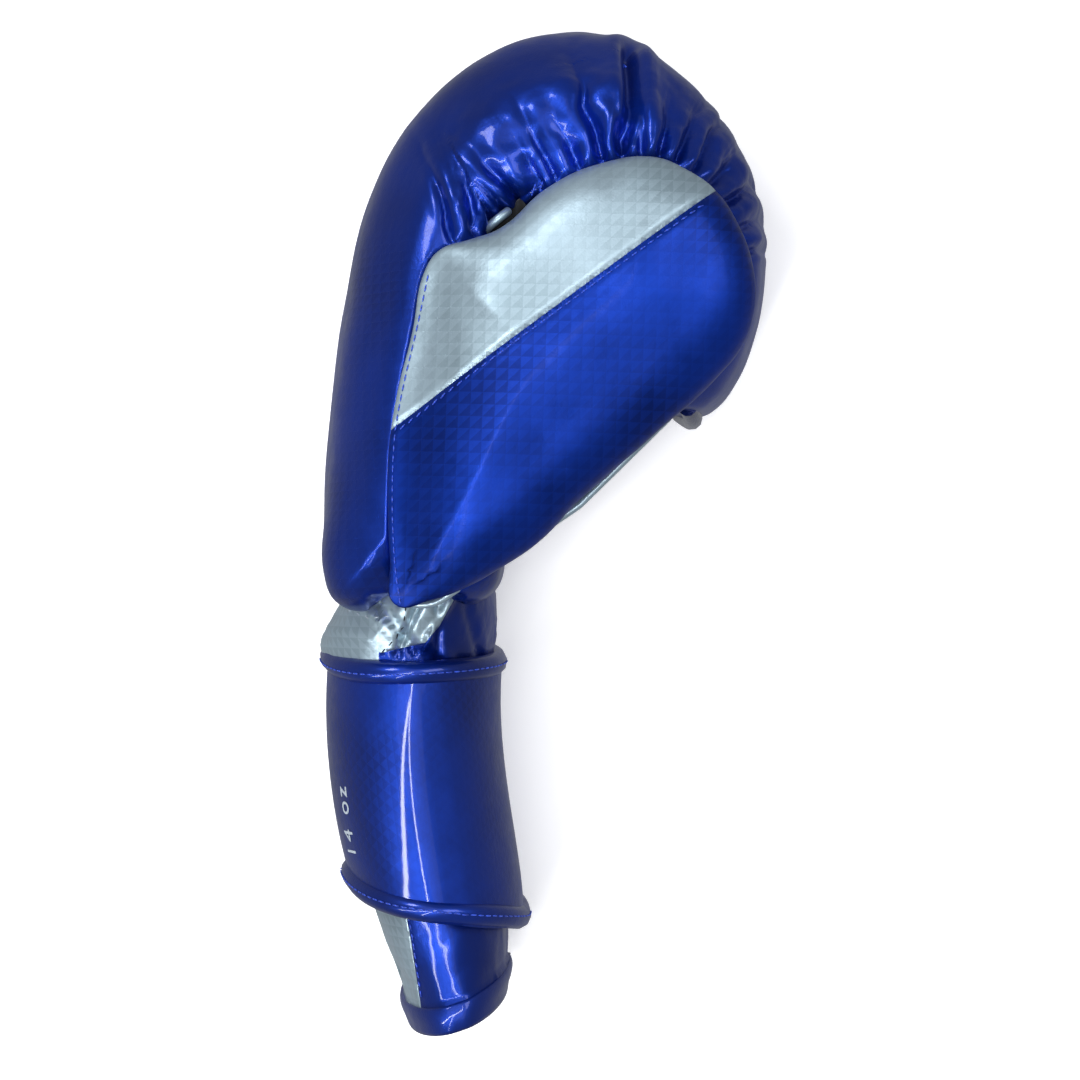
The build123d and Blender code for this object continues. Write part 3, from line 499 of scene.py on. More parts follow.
CLOTHS = {
    "lining": ("brushed_polyester", "#2A2C33", "#121317", 1.2),
    "elastic": ("woven_elastic", "#24262B", "#0A0A0C", 1.5, 0.2),
    "hooks": ("nylon_hook_tape", "#1B1D22", "#08090B", 1.6, 0.1),
    "loops": ("brushed_loop_tape", "#23262C", "#0C0D10", 1.0, 0.6),
    "foam": ("moulded_foam", "#D9D4C8", "#B8B2A4", 2.0, 0.1),
}
THREADS = {
    "blue_thread": ("blue_thread", "#2F55D8", "#16308F"),
    "silver_thread": ("silver_thread", "#C9D3DC", "#8E9AA6"),
    "print": ("printed_ink", "#A9B4BE", "#98A3AE"),
    "hole": ("needle_hole", "#05071A", "#02030C"),
}
stuffs = {}


def stuff(key):
    """The named finish, made once."""
    if key not in stuffs:
        look = settings()
        colours = {
            "blue": (look.blue, look.blue_deep),
            "silver": (look.silver, look.silver_deep),
            "dark": (look.blue_deep, "#03061C"),
        }
        if key in LEATHERS:
            name, colour, metallic, rough, more = LEATHERS[key]
            stuffs[key] = coated_leather(name, *colours[colour], metallic, rough, **more)
        elif key in CLOTHS:
            stuffs[key] = cloth(*CLOTHS[key])
        else:
            stuffs[key] = thread(*THREADS[key])
    return stuffs[key]


# ---------------------------------------------------------------- sewing
def sew(name, targets, line, length=2.5, thick=0.55, key="blue_thread"):
    """A row of stitches on the nearest of some pieces: below a flat line of (x, y), or beside a line of (x, y, z)."""
    trees = [tree_of(t) for t in targets]
    places = smooth_line(line, settings().stitch_pitch)
    down = Vector((0, 0, -1))
    bm = bmesh.new()
    for i, spot in enumerate(places):
        ahead = places[min(i + 1, len(places) - 1)] - places[max(i - 1, 0)]
        if len(spot) == 2:
            hits = [t.ray_cast(at(*spot, ABOVE), down) for t in trees]
        else:
            hits = [t.find_nearest(at(*spot)) for t in trees]
        hits = [h for h in hits if h[0] is not None]
        if not hits:
            continue
        hit = min(hits, key=lambda h: h[3])
        normal = hit[1] if hit[1].dot(down) <= 0 else -hit[1]
        run = Vector((ahead[0], ahead[1], ahead[2] if len(ahead) > 2 else 0))
        run = (run - normal * run.dot(normal)).normalized()
        turn = Matrix((run, normal.cross(run), normal)).transposed().to_4x4()
        size = Matrix.Diagonal((length / 2 * MM, thick / 2 * MM, thick / 2 * MM, 1))
        centre = Matrix.Translation(hit[0] + normal * (thick / 2 - STITCH_SINK) * MM)
        lie = centre @ turn @ size @ Matrix.Rotation(pi / 2, 4, "Y")
        bmesh.ops.create_uvsphere(bm, u_segments=6, v_segments=5, radius=1, matrix=lie)
    row = new_piece(name, bm)
    return finish_piece(row, stuff(key))


def tube(name, line, radius, key):
    """A rolled edge or cord along a line of glove millimetres."""
    curve = bpy.data.curves.new(name, "CURVE")
    curve.dimensions = "3D"
    spline = curve.splines.new("NURBS")
    spline.points.add(len(line) - 1)
    for knot, p in zip(spline.points, line):
        knot.co = (*at(*p), 1)
    spline.order_u = 4
    spline.use_endpoint_u = True
    spline.resolution_u = 4
    curve.bevel_depth = radius * MM
    curve.bevel_resolution = 3
    curve.use_fill_caps = True
    return finish_piece(placed(name, mesh_of(name, curve)), stuff(key))


# ---------------------------------------------------------------- settings
def number(name, description, default, low, high):
    return bpy.props.FloatProperty(name=name, description=description, default=default, min=low, max=high)


def tint(name, description, default):
    return bpy.props.StringProperty(name=name, description=description + ", sRGB hex", default=default)


class GloveSettings(bpy.types.PropertyGroup):
    mitt_width: number("Mitt width", "From the little-finger side to the thumb side, mm", 108.0, 60.0, 160.0)
    mitt_round: number("Mitt rounding", "Radius of the mitt's rims, mm", 20.0, 4.0, 21.0)
    side_tuck: number("Side rounding", "How far the sides pull in above and below their middle, mm", 9.0, 0.0, 16.0)
    swell: number("Dome swell", "How far the padding rises round the thumb, a share of its height", 0.33, 0.0, 0.5)
    pleat_depth: number("Gather depth", "Depth of the gathers above the thumb, mm", 4.4, 0.0, 8.0)
    stitch_pitch: number("Stitch pitch", "Distance from one stitch to the next, mm", 3.3, 1.5, 8.0)
    cell: number("Mesh cell", "Size of the leather's mesh cells, mm", 1.5, 0.8, 4.0)
    blue: tint("Blue", "Blue leather", "#0C349C")
    # blue_deep and silver_deep are the darker ends of the leathers' colour mix: random blotches, and painted shade on
    # one half of each embossed square; blue_deep is also the dark binding's own colour. Nothing lays them in the
    # hollows.
    blue_deep: tint("Deep blue", "Blue leather in its hollows", "#061C5E")
    silver: tint("Silver", "Silver leather", "#ABC0CC")
    silver_deep: tint("Deep silver", "Silver leather in its hollows", "#82969F")
    light: number("Light", "Strength of the studio lights", 0.42, 0.1, 4.0)


# ---------------------------------------------------------------- mitt
def swelling(points, thumb_line):
    """How much the padding rises at each place: high along the thumb's seams, low under it."""
    gap, _, _ = from_line(points, thumb_line)
    under = inside(points, thumb_line)
    out = np.where(under, -gap, gap)
    rise = settings().swell * ease(out, -6, 1) * (1 - 0.22 * ease(points[:, 1], 70, 120))
    rise *= 1 - 0.75 * ease(points[:, 0], 45, 74) * (1 - ease(points[:, 1], 118, 140))
    rise *= 1 - 0.15 * ease(out, 20, 45)
    rise *= ease(points[:, 1], -60, -15)
    # the little opening left between thumb and dome
    pit, _, _ = from_line(points, np.array(OPENING), closed=False)
    rise *= 1 - 0.95 * np.exp(-((pit / 4.0) ** 2)) * ease(out, -3, 0)
    return rise, out


def refine_gathers(mitt):
    """Splits the mesh finer round the thumb's upper edge, where the leather is gathered."""
    bm = bmesh.new()
    bm.from_mesh(mitt.data)
    edge = smooth_line(UPPER_EDGE, 4.0)
    centres = np.array([(f.calc_center_median() - ZERO)[:] for f in bm.faces]) / MM
    gap, _, side = from_line(centres, edge, closed=False)
    chosen = (gap < 36) & (side > -1) & (centres[:, 2] > 60)
    edges = {e for f, c in zip(bm.faces, chosen) if c for e in f.edges}
    bmesh.ops.subdivide_edges(bm, edges=list(edges), cuts=1, use_grid_fill=True)
    bm.to_mesh(mitt.data)
    bm.free()


def form_mitt():
    look = settings()
    mitt = pillow("mitt_leather", MITT_EDGE, 0, look.mitt_width, look.mitt_round)
    hollow = pillow("hollow", HOLLOW_EDGE, MIDDLE - HOLLOW_HALF, MIDDLE + HOLLOW_HALF, 10)
    cut = mitt.modifiers.new("hollow", "BOOLEAN")
    cut.operation = "DIFFERENCE"
    cut.object = hollow
    cut.solver = "EXACT"
    made_solid(mitt)
    bpy.data.objects.remove(hollow)
    even(mitt, look.cell, 8)
    p = points_of(mitt)
    thumb_line = edge_line(THUMB_EDGE)
    mitt_line = edge_line(MITT_EDGE)
    rim, _, _ = from_line(p, mitt_line)
    hollow_line = edge_line(HOLLOW_EDGE)
    outer = ~(inside(p, hollow_line) & (np.abs(p[:, 2] - MIDDLE) < HOLLOW_HALF + 1))
    top = (p[:, 2] > MIDDLE) & outer
    # crown: fuller in the middle than at the rims
    crown = 0.9 + 0.1 * ease(rim, 0, 34)
    rise, out = swelling(p, thumb_line)
    z = p[:, 2] - MIDDLE
    centre_pull = np.stack([p[:, 0] - 0.3, p[:, 1] - 60], axis=1)
    centre_pull /= np.maximum(np.linalg.norm(centre_pull, axis=1), 1)[:, None]
    tuck = look.side_tuck * np.clip(np.abs(z) / MIDDLE, 0, 1) ** 2
    tuck *= outer * ease(p[:, 1], -25, 20) * (1 - ease(rim, 0, 30))
    p[:, :2] -= centre_pull * tuck[:, None]
    p[:, 2] = np.where(top, MIDDLE + z * crown * (1 + rise), p[:, 2])
    low = (p[:, 2] < MIDDLE) & outer
    p[:, 2] = np.where(low, MIDDLE + z * (0.94 + 0.06 * ease(rim, 0, 30)), p[:, 2])
    move_points(mitt, p)
    refine_gathers(mitt)
    p = points_of(mitt)
    rim, _, _ = from_line(p, mitt_line)
    _, out = swelling(p, thumb_line)
    outer = ~(inside(p, hollow_line) & (np.abs(p[:, 2] - MIDDLE) < HOLLOW_HALF + 1))
    top = (p[:, 2] > MIDDLE) & outer
    # gathers: folds that fan out from the thumb's upper edge and die away towards the knuckles
    edge = smooth_line(UPPER_EDGE, 1.0)
    gap, where, side = from_line(p, edge, closed=False)
    total = len(edge)
    rng = np.random.default_rng(7)
    spots = np.cumsum(rng.uniform(4.6, 8.8, 30)) - 2
    heads = rng.uniform(0.5, 1.0, 30)
    reach = rng.uniform(15, 36, 30)
    wander = waves(p, 24.0, 3.0, 2) * 4.5
    field = np.zeros(len(p))
    for s, h, r in zip(spots, heads, reach):
        if s > total + 6:
            break
        off = np.abs(where + wander * ease(gap, 2, 30) - s)
        fade = np.exp(-((gap / r) ** 2)) * ease(gap, -2, 4)
        field -= h * np.exp(-((off / (0.9 + gap * 0.03)) ** 1.4)) * fade
        field += 0.45 * h * np.exp(-(((off - 3.2 - gap * 0.06) / (2.0 + gap * 0.04)) ** 2)) * fade
    swellings = waves(p, 9.0, 9.0, 2) * 0.25 * np.exp(-((gap / 30) ** 2))
    facing = np.clip(directions_of(mitt)[:, 2], 0, 1) ** 0.5
    mask = facing * ease(side, -2, 2) * ease(where, 1, 8) * ease(total - where, 1, 10) * top
    # one long deep fold up to the rim, and a shallow neighbour
    fold = smooth_line(LONG_FOLD, 1.0)
    fold_gap, fold_at, _ = from_line(p, fold, closed=False)
    deep = -1.1 * np.exp(-((fold_gap / 2.4) ** 2))
    deep += 0.45 * np.exp(-(((fold_gap - 5.5) / 3.5) ** 2))
    reachable = (p[:, 2] > 40) & outer
    normal = directions_of(mitt)
    deep *= reachable * np.clip(normal[:, 2] + 0.7, 0, 1) * ease(p[:, 1], 122, 134)
    depth = look.pleat_depth * ((field + swellings) * mask + deep)
    p += normal * depth[:, None]
    # gentle unevenness of hand-stuffed padding
    p += normal * (waves(p, 38.0, 21.0, 2) * 0.5 * outer)[:, None]
    p[:, 2] = np.maximum(p[:, 2], 0.0)  # nothing sinks below the level it lies on
    move_points(mitt, p)
    angle = np.arctan2(p[:, 2] - MIDDLE, -(p[:, 0] + 30))
    wrap_marks(mitt, np.stack([p[:, 1], angle * 48], axis=1))
    # smoother leather over the gathered dome than on the back panel
    weight = ease(p[:, 1] + 0.35 * p[:, 0], 62, 92) * ease(out, -4, 2)
    spread = mitt.data.attributes.new("smooth_part", "FLOAT", "POINT")
    spread.data.foreach_set("value", weight.astype(np.float32))
    finish_piece(mitt, stuff("back"))
    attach(mitt, "mitt")
    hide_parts("back_shell", "palm_panel", "finger_panel", "foam_outer", "foam_inner", "palm_pad")
    return mitt


def form_thumb():
    look = settings()
    body = pillow("thumb_body", THUMB_EDGE, 104, 146, 17)
    even(body, 1.1, 8)
    p = points_of(body)
    line = edge_line(THUMB_EDGE)
    rim, _, _ = from_line(p, line)
    left = smooth_line(LEFT_SEAM, 1.0)
    from_left, _, _ = from_line(p, left, closed=False)
    share = (p[:, 2] - THUMB_MIDDLE) / 21
    crown = 142 + 5.0 * ease(rim, 4, 42) - 12.0 * np.exp(-((from_left / 15) ** 2))
    crown -= 3.0 * (1 - ease(p[:, 1], -25, 10))
    steep = 1 - 0.4 * np.exp(-((from_left / 16) ** 2))
    upper = THUMB_MIDDLE + (crown - THUMB_MIDDLE) * np.clip(share, 0, 1) ** steep
    lower = THUMB_MIDDLE + (THUMB_MIDDLE - 108.6) * share
    p[:, 2] = np.where(share > 0, upper, lower)
    # a dip along the seam between the two colours
    a, b = np.array(COLOUR_SEAM[0]), np.array(COLOUR_SEAM[1])
    run = (b - a) / np.linalg.norm(b - a)
    off = (p[:, 0] - a[0]) * run[1] - (p[:, 1] - a[1]) * run[0]
    top = share > 0
    p[:, 2] -= np.where(top, 1.1 * np.exp(-((off / 1.1) ** 2)) - 0.35 * np.exp(-((off / 3.5) ** 2)), 0)
    normal = directions_of(body)
    p += normal * (waves(p, 30.0, 5.0, 2) * 0.45)[:, None]
    move_points(body, p)
    seam = (*COLOUR_SEAM[0], 130.0)
    across = Vector((-run[1], run[0], 0))
    above, below = ((0, 0, 113.5), (0, 0, 1)), ((0, 0, 113.5), (0, 0, -1))
    inner = ("thumb_panel_blue", "thumb_foam", "thumb_liner")
    panels = {
        "thumb_panel_top": ([(seam, across), above], "thumb_silver", "silver_leather", ("thumb_panel_silver",)),
        "thumb_panel_side": ([(seam, -across), above], "thumb_blue", "blue_leather", inner),
        "thumb_panel_under": ([below], "thumb_silver", "silver_leather", ("thumb_under_panel",)),
    }
    made = {}
    for name, (planes, key, slot, stands) in panels.items():
        part = cut_piece(body, name, planes)
        q = points_of(part)
        wrap_marks(part, q[:, :2])
        finish_piece(part, stuff(key))
        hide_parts(*stands)
        made[name] = part
    bpy.data.objects.remove(body)
    return made


def follow_thumb(*parts):
    for part in parts:
        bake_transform(part)


class GLOVE_OT_mitt(bpy.types.Operator):
    """Makes the padded mitt, the sewn thumb lobe and their stitching"""

    bl_idname = "glove.mitt"
    bl_label = "Mitt and thumb"

    def execute(self, context):
        mitt = form_mitt()
        thumb = form_thumb()
        top, side, under = thumb["thumb_panel_top"], thumb["thumb_panel_side"], thumb["thumb_panel_under"]
        a, b = np.array(COLOUR_SEAM[0]), np.array(COLOUR_SEAM[1])
        run = (b - a) / np.linalg.norm(b - a)
        beside = np.array((run[1], -run[0])) * 1.6
        rows = [sew("stitches_colour_seam", [side], [a + beside + run * 1.5, b + beside - run * 4.0])]
        line = np.array(smooth_line(LEFT_SEAM, 1.0))
        rows.append(sew("stitches_left_seam", [side, top], line + np.array((1.8, 0))))
        follow_thumb(top, side, under, *rows)
        lip = tube("lip_roll", LIP_LINE, 3.2, "lip")
        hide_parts("lip_binding")
        cord = tube("seam_roll", SEAM_ROLL_LINE, 1.7, "rolled")
        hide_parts("side_seam_cord")
        # the thumb's elastic lock strap, laid along the opening between thumb and dome; its near-black cloth is also
        # painted shade of that gap
        band = tube("thumb_elastic_and_gap_shade", ELASTIC_LINE, 2.2, "elastic")
        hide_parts("thumb_lock_strap")
        tab = tube("thumb_tab", TAB_LINE, 1.5, "wrist_silver")
        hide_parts("thumb_lock_tab")
        knots = []
        for i, (x, y) in enumerate(TACKS):
            line = [(x, y - 1.6, 119.2), (x + 0.6, y, 120.9), (x + 1.2, y + 1.8, 119.6)]
            knots.append(tube(f"tack_{i}", line, 0.28, "blue_thread"))
        for part in (lip, cord, band, tab, *knots):
            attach(part, "mitt")
        return {"FINISHED"}


# ---------------------------------------------------------------- wrist, cuff and strap
def cuff_frame():
    """Origin and directions of the round-the-cuff measure: angle 0 to the palm, 90 up to the thumb."""
    origin, axis = CUFF_AXIS
    right = Vector((1, 0, 0))
    right = (right - axis * right.dot(axis)).normalized()
    up = axis.cross(right)
    if up.z < 0:
        up = -up
    return origin, axis, right, up


def around(angle, along, radius):
    """A point at an angle round the cuff's axis, a way along it from the strap's top, and a radius."""
    origin, axis, right, up = cuff_frame()
    a = radians(angle)
    return origin + axis * along + (right * cos(a) + up * sin(a)) * radius


def outer_skin(names):
    """One search tree over some CAD nodes."""
    corners, faces = [], []
    for n in names:
        shift = len(corners)
        corners += [v.co for v in nodes[n].data.vertices]
        faces += [[i + shift for i in f.vertices] for f in nodes[n].data.polygons]
    return BVHTree.FromPolygons(corners, faces)


def on_skin(tree, angle, along, reach=90.0):
    """Radius of the outermost surface at an angle and a way along the cuff's axis."""
    origin, axis, right, up = cuff_frame()
    centre = origin + axis * along
    a = radians(angle)
    out = right * cos(a) + up * sin(a)
    start = centre + out * reach
    hit = tree.ray_cast(at(*start), -out)
    return reach - hit[3] / MM if hit[0] is not None and hit[3] / MM < reach else None


def along_plane(angle, radius, point, normal):
    """Way along the axis at which a plane is met, at an angle and radius."""
    origin, axis, right, up = cuff_frame()
    a = radians(angle)
    base = origin + (right * cos(a) + up * sin(a)) * radius
    normal = Vector(normal)
    return (Vector(point) - base).dot(normal) / axis.dot(normal)


def plane_direction(turn, lean):
    across = Vector((cos(radians(turn)), sin(radians(turn)), 0))
    rise = Vector((0, -sin(radians(lean)), cos(radians(lean))))
    return across.cross(rise).normalized()


STRAP_RADIUS = 33.0  # about how far the strap's leather lies from the cuff's axis
FOLD_ANGLE = 80.0  # where it folds back
STRAP_FROM, STRAP_TO = -75.0, 194.5
ROLL_INSET = 3.0
MARK_ANGLE = 134.0  # where the weight mark sits round the strap, and how far down it
MARK_ALONG = 32.0
STRAP_TOP = ((-44.0, -37.5, 53.0), plane_direction(-1, 5))
STRAP_LOW = ((-36.4, -123.0, 48.5), plane_direction(-12.5, 3.6))
MOUTH = ((-28.5, -157.5, 46.5), plane_direction(18, 7))
CUFF_TOP = ((-41.0, -31.0, 54.0), plane_direction(0, 3))


def wall(name, skin, angles, rows, upper, lower, lift, thick, wave=None, closed=False, extend=0.0, avoid=None):
    """A sheet laid over the cuff's skin between two planes, with its own thickness.
    lift raises it off the skin, wave moves its points outwards, extend lowers its edge, avoid is an angle not read."""
    columns = len(angles)
    bm = bmesh.new()
    bmesh.ops.create_grid(bm, x_segments=columns - 1, y_segments=rows, size=1.0)
    bm.verts.ensure_lookup_table()
    grid = sorted(bm.verts, key=lambda v: (round(v.co.y, 5), round(v.co.x, 5)))
    ends = []
    for angle in angles:
        pair = []
        for plane, inward in ((upper, 3.0), (lower, -3.0)):
            radius = 30.0
            for _ in range(3):
                way = along_plane(angle, radius, *plane)
                radius = on_skin(skin, angle, way + inward) or radius
            pair.append(way)
        ends.append(pair)
    reached = np.zeros((rows + 1, columns))
    places = np.zeros((rows + 1, columns))
    for j in range(rows + 1):
        for i, angle in enumerate(angles):
            a, b = ends[i]
            places[j, i] = a + (b + extend - a) * j / rows
            probe = min(max(places[j, i], a + 1.5), b - 1.5)
            tries = [on_skin(skin, angle + turn, probe) for turn in (-1, 0, 1)]
            tries = [t for t in tries if t is not None and t > 8]
            reached[j, i] = np.median(tries) if tries and (not avoid or abs(angle - avoid) > 4) else np.nan
    for j in range(rows + 1):
        gone = np.isnan(reached[j])
        reached[j, gone] = np.interp(np.flatnonzero(gone), np.flatnonzero(~gone), reached[j, ~gone])
    if closed:
        reached = np.median([np.roll(reached, k, axis=1) for k in range(-4, 5)], axis=0)
    for j in range(rows + 1):
        for i, angle in enumerate(angles):
            extra = lift(j / rows, angle)
            grid[j * columns + i].co = at(*around(angle, places[j, i], reached[j, i] + extra))
    if closed:
        bmesh.ops.remove_doubles(bm, verts=bm.verts[:], dist=1e-5)
    bmesh.ops.recalc_face_normals(bm, faces=bm.faces[:])
    piece = new_piece(name, bm)
    origin, axis, right, up = cuff_frame()
    p = points_of(piece)
    rel = p - np.array(origin)
    out = rel - np.outer(rel @ np.array(axis), np.array(axis))
    out /= np.linalg.norm(out, axis=1)[:, None]
    if (directions_of(piece) * out).sum() < 0:
        piece.data.flip_normals()
    if wave is not None:
        p = p + out * wave(p)[:, None]
        move_points(piece, p)
    angle = np.degrees(np.arctan2(rel @ np.array(up), rel @ np.array(right)))
    wrap_marks(piece, np.stack([p[:, 1], np.radians(angle) * 36], axis=1))
    return thicken(piece, thick) if thick else piece


def split_by(piece, name, line, keep_left):
    """The part of a piece on one side of a vertical cut along a line of (x, y) points."""
    bm = bmesh.new()
    bm.from_mesh(piece.data)
    for a, b in zip(line[:-1], line[1:]):
        run = Vector((b[0] - a[0], b[1] - a[1], 0)).normalized()
        across = Vector((run.y, -run.x, 0))
        everything = bm.verts[:] + bm.edges[:] + bm.faces[:]
        bmesh.ops.bisect_plane(bm, geom=everything, dist=1e-7, plane_co=at(*a, 0), plane_no=across)
    centres = np.array([(f.calc_center_median() - ZERO)[:] for f in bm.faces]) / MM
    _, _, side = from_line(centres, np.array(line, float), closed=False)
    drop = [f for f, s in zip(bm.faces, side) if (s > 0) != keep_left]
    bmesh.ops.delete(bm, geom=drop, context="FACES")
    return new_piece(name, bm)


class GLOVE_OT_wrist(bpy.types.Operator):
    """Makes the soft wrist between mitt and strap"""

    bl_idname = "glove.wrist"
    bl_label = "Wrist"

    def execute(self, context):
        bm = bmesh.new()
        for centre, half, tall in WRIST_RINGS:
            upright = Matrix.Translation(at(*centre)) @ Matrix.Rotation(pi / 2, 4, "X")
            turn = upright @ Matrix.Diagonal((half * MM, tall * MM, 1, 1))
            bmesh.ops.create_circle(bm, segments=120, radius=1, matrix=turn)
        bmesh.ops.bridge_loops(bm, edges=bm.edges[:])
        bmesh.ops.recalc_face_normals(bm, faces=bm.faces[:])
        sleeve = new_piece("sleeve", bm)
        fine = sleeve.modifiers.new("fine", "SUBSURF")
        fine.levels = fine.render_levels = 2
        made_solid(sleeve)
        p = points_of(sleeve)
        out = p - np.array((-43, 0, 54))
        out[:, 1] = 0
        out /= np.linalg.norm(out, axis=1)[:, None]
        run = p[:, 1]
        soft = ease(run, -46, -38) * ease(-run, 12, 20)
        fold = np.zeros(len(p))
        # pleats where the wrist is gathered under the thumb
        for low, high, width, depth in WRIST_PLEATS:
            gap, _, _ = from_line(p, np.array((low, high), float), closed=False)
            fold += depth * np.exp(-((gap / width) ** 2))
        ripples = waves(p * np.array((1, 2.2, 1)), 12.0, 4.0, 3)
        p += out * ((fold * (p[:, 2] > MIDDLE) + ripples * 0.6) * soft)[:, None]
        move_points(sleeve, p)
        angle = np.arctan2(p[:, 2] - MIDDLE, p[:, 0] + 43)
        wrap_marks(sleeve, np.stack([p[:, 1], angle * 34], axis=1))
        rows = [
            sew("stitches_wrist_fold", [sleeve], WRIST_FOLD_SEAM, 2.0, 0.5, "hole"),
            sew("stitches_wrist_seam", [sleeve], ((-53.0, -38.0), (-53.0, -45.0)), 2.0, 0.5),
            sew("stitches_wrist_pleat", [sleeve], WRIST_PLEAT_SEAM, 1.8, 0.5, "silver_thread"),
        ]
        for row in rows:
            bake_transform(row)
        for name, left, key, slot, node in (
            ("wrist_silver", True, "wrist_silver", "silver_leather", "wrist_gusset_silver"),
            ("wrist_blue", False, "wrist_blue", "blue_leather", "wrist_gusset_blue"),
        ):
            part = split_by(sleeve, name, WRIST_BORDER, left)
            thicken(part, LEATHER)
            finish_piece(part, stuff(key))
            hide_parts(node)
            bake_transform(part)
        bpy.data.objects.remove(sleeve)
        return {"FINISHED"}


class GLOVE_OT_cuff(bpy.types.Operator):
    """Makes the cuff's leather panels and their rolled mouth"""

    bl_idname = "glove.cuff"
    bl_label = "Cuff"

    def execute(self, context):
        skin = outer_skin(["cuff_panel_silver", "cuff_panel_blue", "slit_gusset", "mouth_binding"])
        angles = np.linspace(-180, 180, 181)

        def creases(p):
            low = ease(-p[:, 1], 124, 134) * ease(p[:, 1], -170, -158)
            gap, _, _ = from_line(p, np.array(((-58, -140), (-44, -150))), closed=False)
            shallow = waves(p * np.array((1, 0.6, 1)), 22.0, 2.0, 3)
            return low * (shallow * 1.2 - 1.6 * np.exp(-((gap / 2.2) ** 2)) * (p[:, 2] > 46)) - 0.05

        def flush(share, angle):
            return 0.0

        def rounded(share, angle):
            return 1.4 * np.sin(np.pi * min(max(share, 0.04), 0.96)) ** 0.5

        body = wall("cuff_body", skin, angles, 70, CUFF_TOP, MOUTH, flush, 0, creases, closed=True, extend=-3.0)
        seam = sew("stitches_cuff_seam", [body], [(-43.6, -126), (-42.4, -132), (-39.4, -154)], length=2.4, thick=0.55)
        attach(seam, "cuff")
        for name, left, key, slot, node in (
            ("cuff_silver", False, "wrist_silver", "silver_leather", "cuff_panel_silver"),
            ("cuff_blue", True, "wrist_blue", "blue_leather", "cuff_panel_blue"),
        ):
            part = split_by(body, name, CUFF_BORDER, left)
            thicken(part, LEATHER)
            finish_piece(part, stuff(key))
            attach(part, "cuff")
            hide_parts(node)
            if left:
                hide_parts("cuff_foam")
        bpy.data.objects.remove(body)
        top = (tuple(np.array(MOUTH[0]) + np.array((-1.1, 8.0, 0.4))), MOUTH[1])
        band = wall("mouth_roll", skin, angles, 8, top, MOUTH, rounded, 3.0, closed=True, extend=1.5)
        sewn = sew("stitches_mouth", [band], MOUTH_SEAM, length=2.4, thick=0.5)
        finish_piece(band, stuff("rolled"))
        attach(band, "cuff")
        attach(sewn, "cuff")
        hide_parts("mouth_binding")
        return {"FINISHED"}


def rim_radius(skin, angle, along):
    """Radius under a strap's rim, read beside the fold rather than in it."""
    angles = (angle,) if abs(angle - FOLD_ANGLE) > 4 else (FOLD_ANGLE - 5, FOLD_ANGLE + 5)
    return sum(on_skin(skin, a, along) or 32.0 for a in angles) / len(angles)


def weight_mark(pad):
    """The plain weight mark printed along the strap, laid on its leather."""
    font = bpy.data.curves.new("weight_mark", "FONT")
    font.body = "14 oz"
    font.size = 9.0 * MM
    font.align_x = font.align_y = "CENTER"
    font.space_character = 1.25
    bm = bmesh.new()
    bm.from_mesh(mesh_of("weight_mark", font))
    bmesh.ops.triangulate(bm, faces=bm.faces[:])
    for _ in range(2):
        bmesh.ops.subdivide_edges(bm, edges=[e for e in bm.edges if e.calc_length() > 1.2 * MM], cuts=1)
    tree = tree_of(pad)
    _, _, right, up = cuff_frame()
    for v in bm.verts:
        along, round_by = v.co.x / MM, v.co.y / MM
        angle = MARK_ANGLE + np.degrees(round_by / STRAP_RADIUS)
        start = at(*around(angle, MARK_ALONG - along, 80))
        out = right * cos(radians(angle)) + up * sin(radians(angle))
        hit = tree.ray_cast(start, -out)
        v.co = hit[0] + hit[1] * 0.12 * MM
    bmesh.ops.recalc_face_normals(bm, faces=bm.faces[:])
    mark = thicken(new_piece("weight_mark", bm), 0.15, offset=1)
    return finish_piece(mark, stuff("print"), smooth=False)


def over_fold(part):
    """Bakes a strap piece's placement into its mesh."""
    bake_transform(part)


class GLOVE_OT_strap(bpy.types.Operator):
    """Makes the padded wrist strap with its rolled edges, stitching and weight mark"""

    bl_idname = "glove.strap"
    bl_label = "Wrist strap"

    def execute(self, context):
        skin = outer_skin(["strap_inner_cover", "strap_outer_cover", "strap_inner_foam", "strap_outer_foam"])

        def puff(v, angle):
            return 0.6 * (1 - (2 * v - 1) ** 4)

        angles = np.linspace(STRAP_FROM, STRAP_TO, 180)
        pad = wall("strap_leather", skin, angles, 60, STRAP_TOP, STRAP_LOW, puff, 4.5, avoid=FOLD_ANGLE)
        finish_piece(pad, stuff("strap"))
        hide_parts("strap_inner_cover", "strap_inner_foam", "strap_outer_cover", "strap_outer_foam")
        parts = [pad]
        for edge, plane, shift in (("top", STRAP_TOP, ROLL_INSET), ("bottom", STRAP_LOW, -ROLL_INSET)):
            line, row = [], []
            for angle in np.arange(STRAP_FROM, STRAP_TO + 0.1, 5.0):
                s = along_plane(angle, 32, *plane) + shift
                r = rim_radius(skin, angle, s + shift) - 1.6
                line.append(around(angle, s, r))
            roll = tube(f"strap_{edge}_roll", line, 4.1, "rolled")
            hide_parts(f"strap_inner_{edge}_binding", f"strap_outer_{edge}_binding")
            parts.append(roll)
            for angle in np.arange(STRAP_FROM, STRAP_TO + 0.1, 2.0):
                s = along_plane(angle, 32, *plane) + shift * 1.15
                row.append(around(angle, s, rim_radius(skin, angle, s + shift) + 4))
            parts.append(sew(f"stitches_strap_{edge}", [roll, pad], row, length=2.6, thick=0.6))
        parts.append(weight_mark(pad))
        for part in parts:
            over_fold(part)
        return {"FINISHED"}


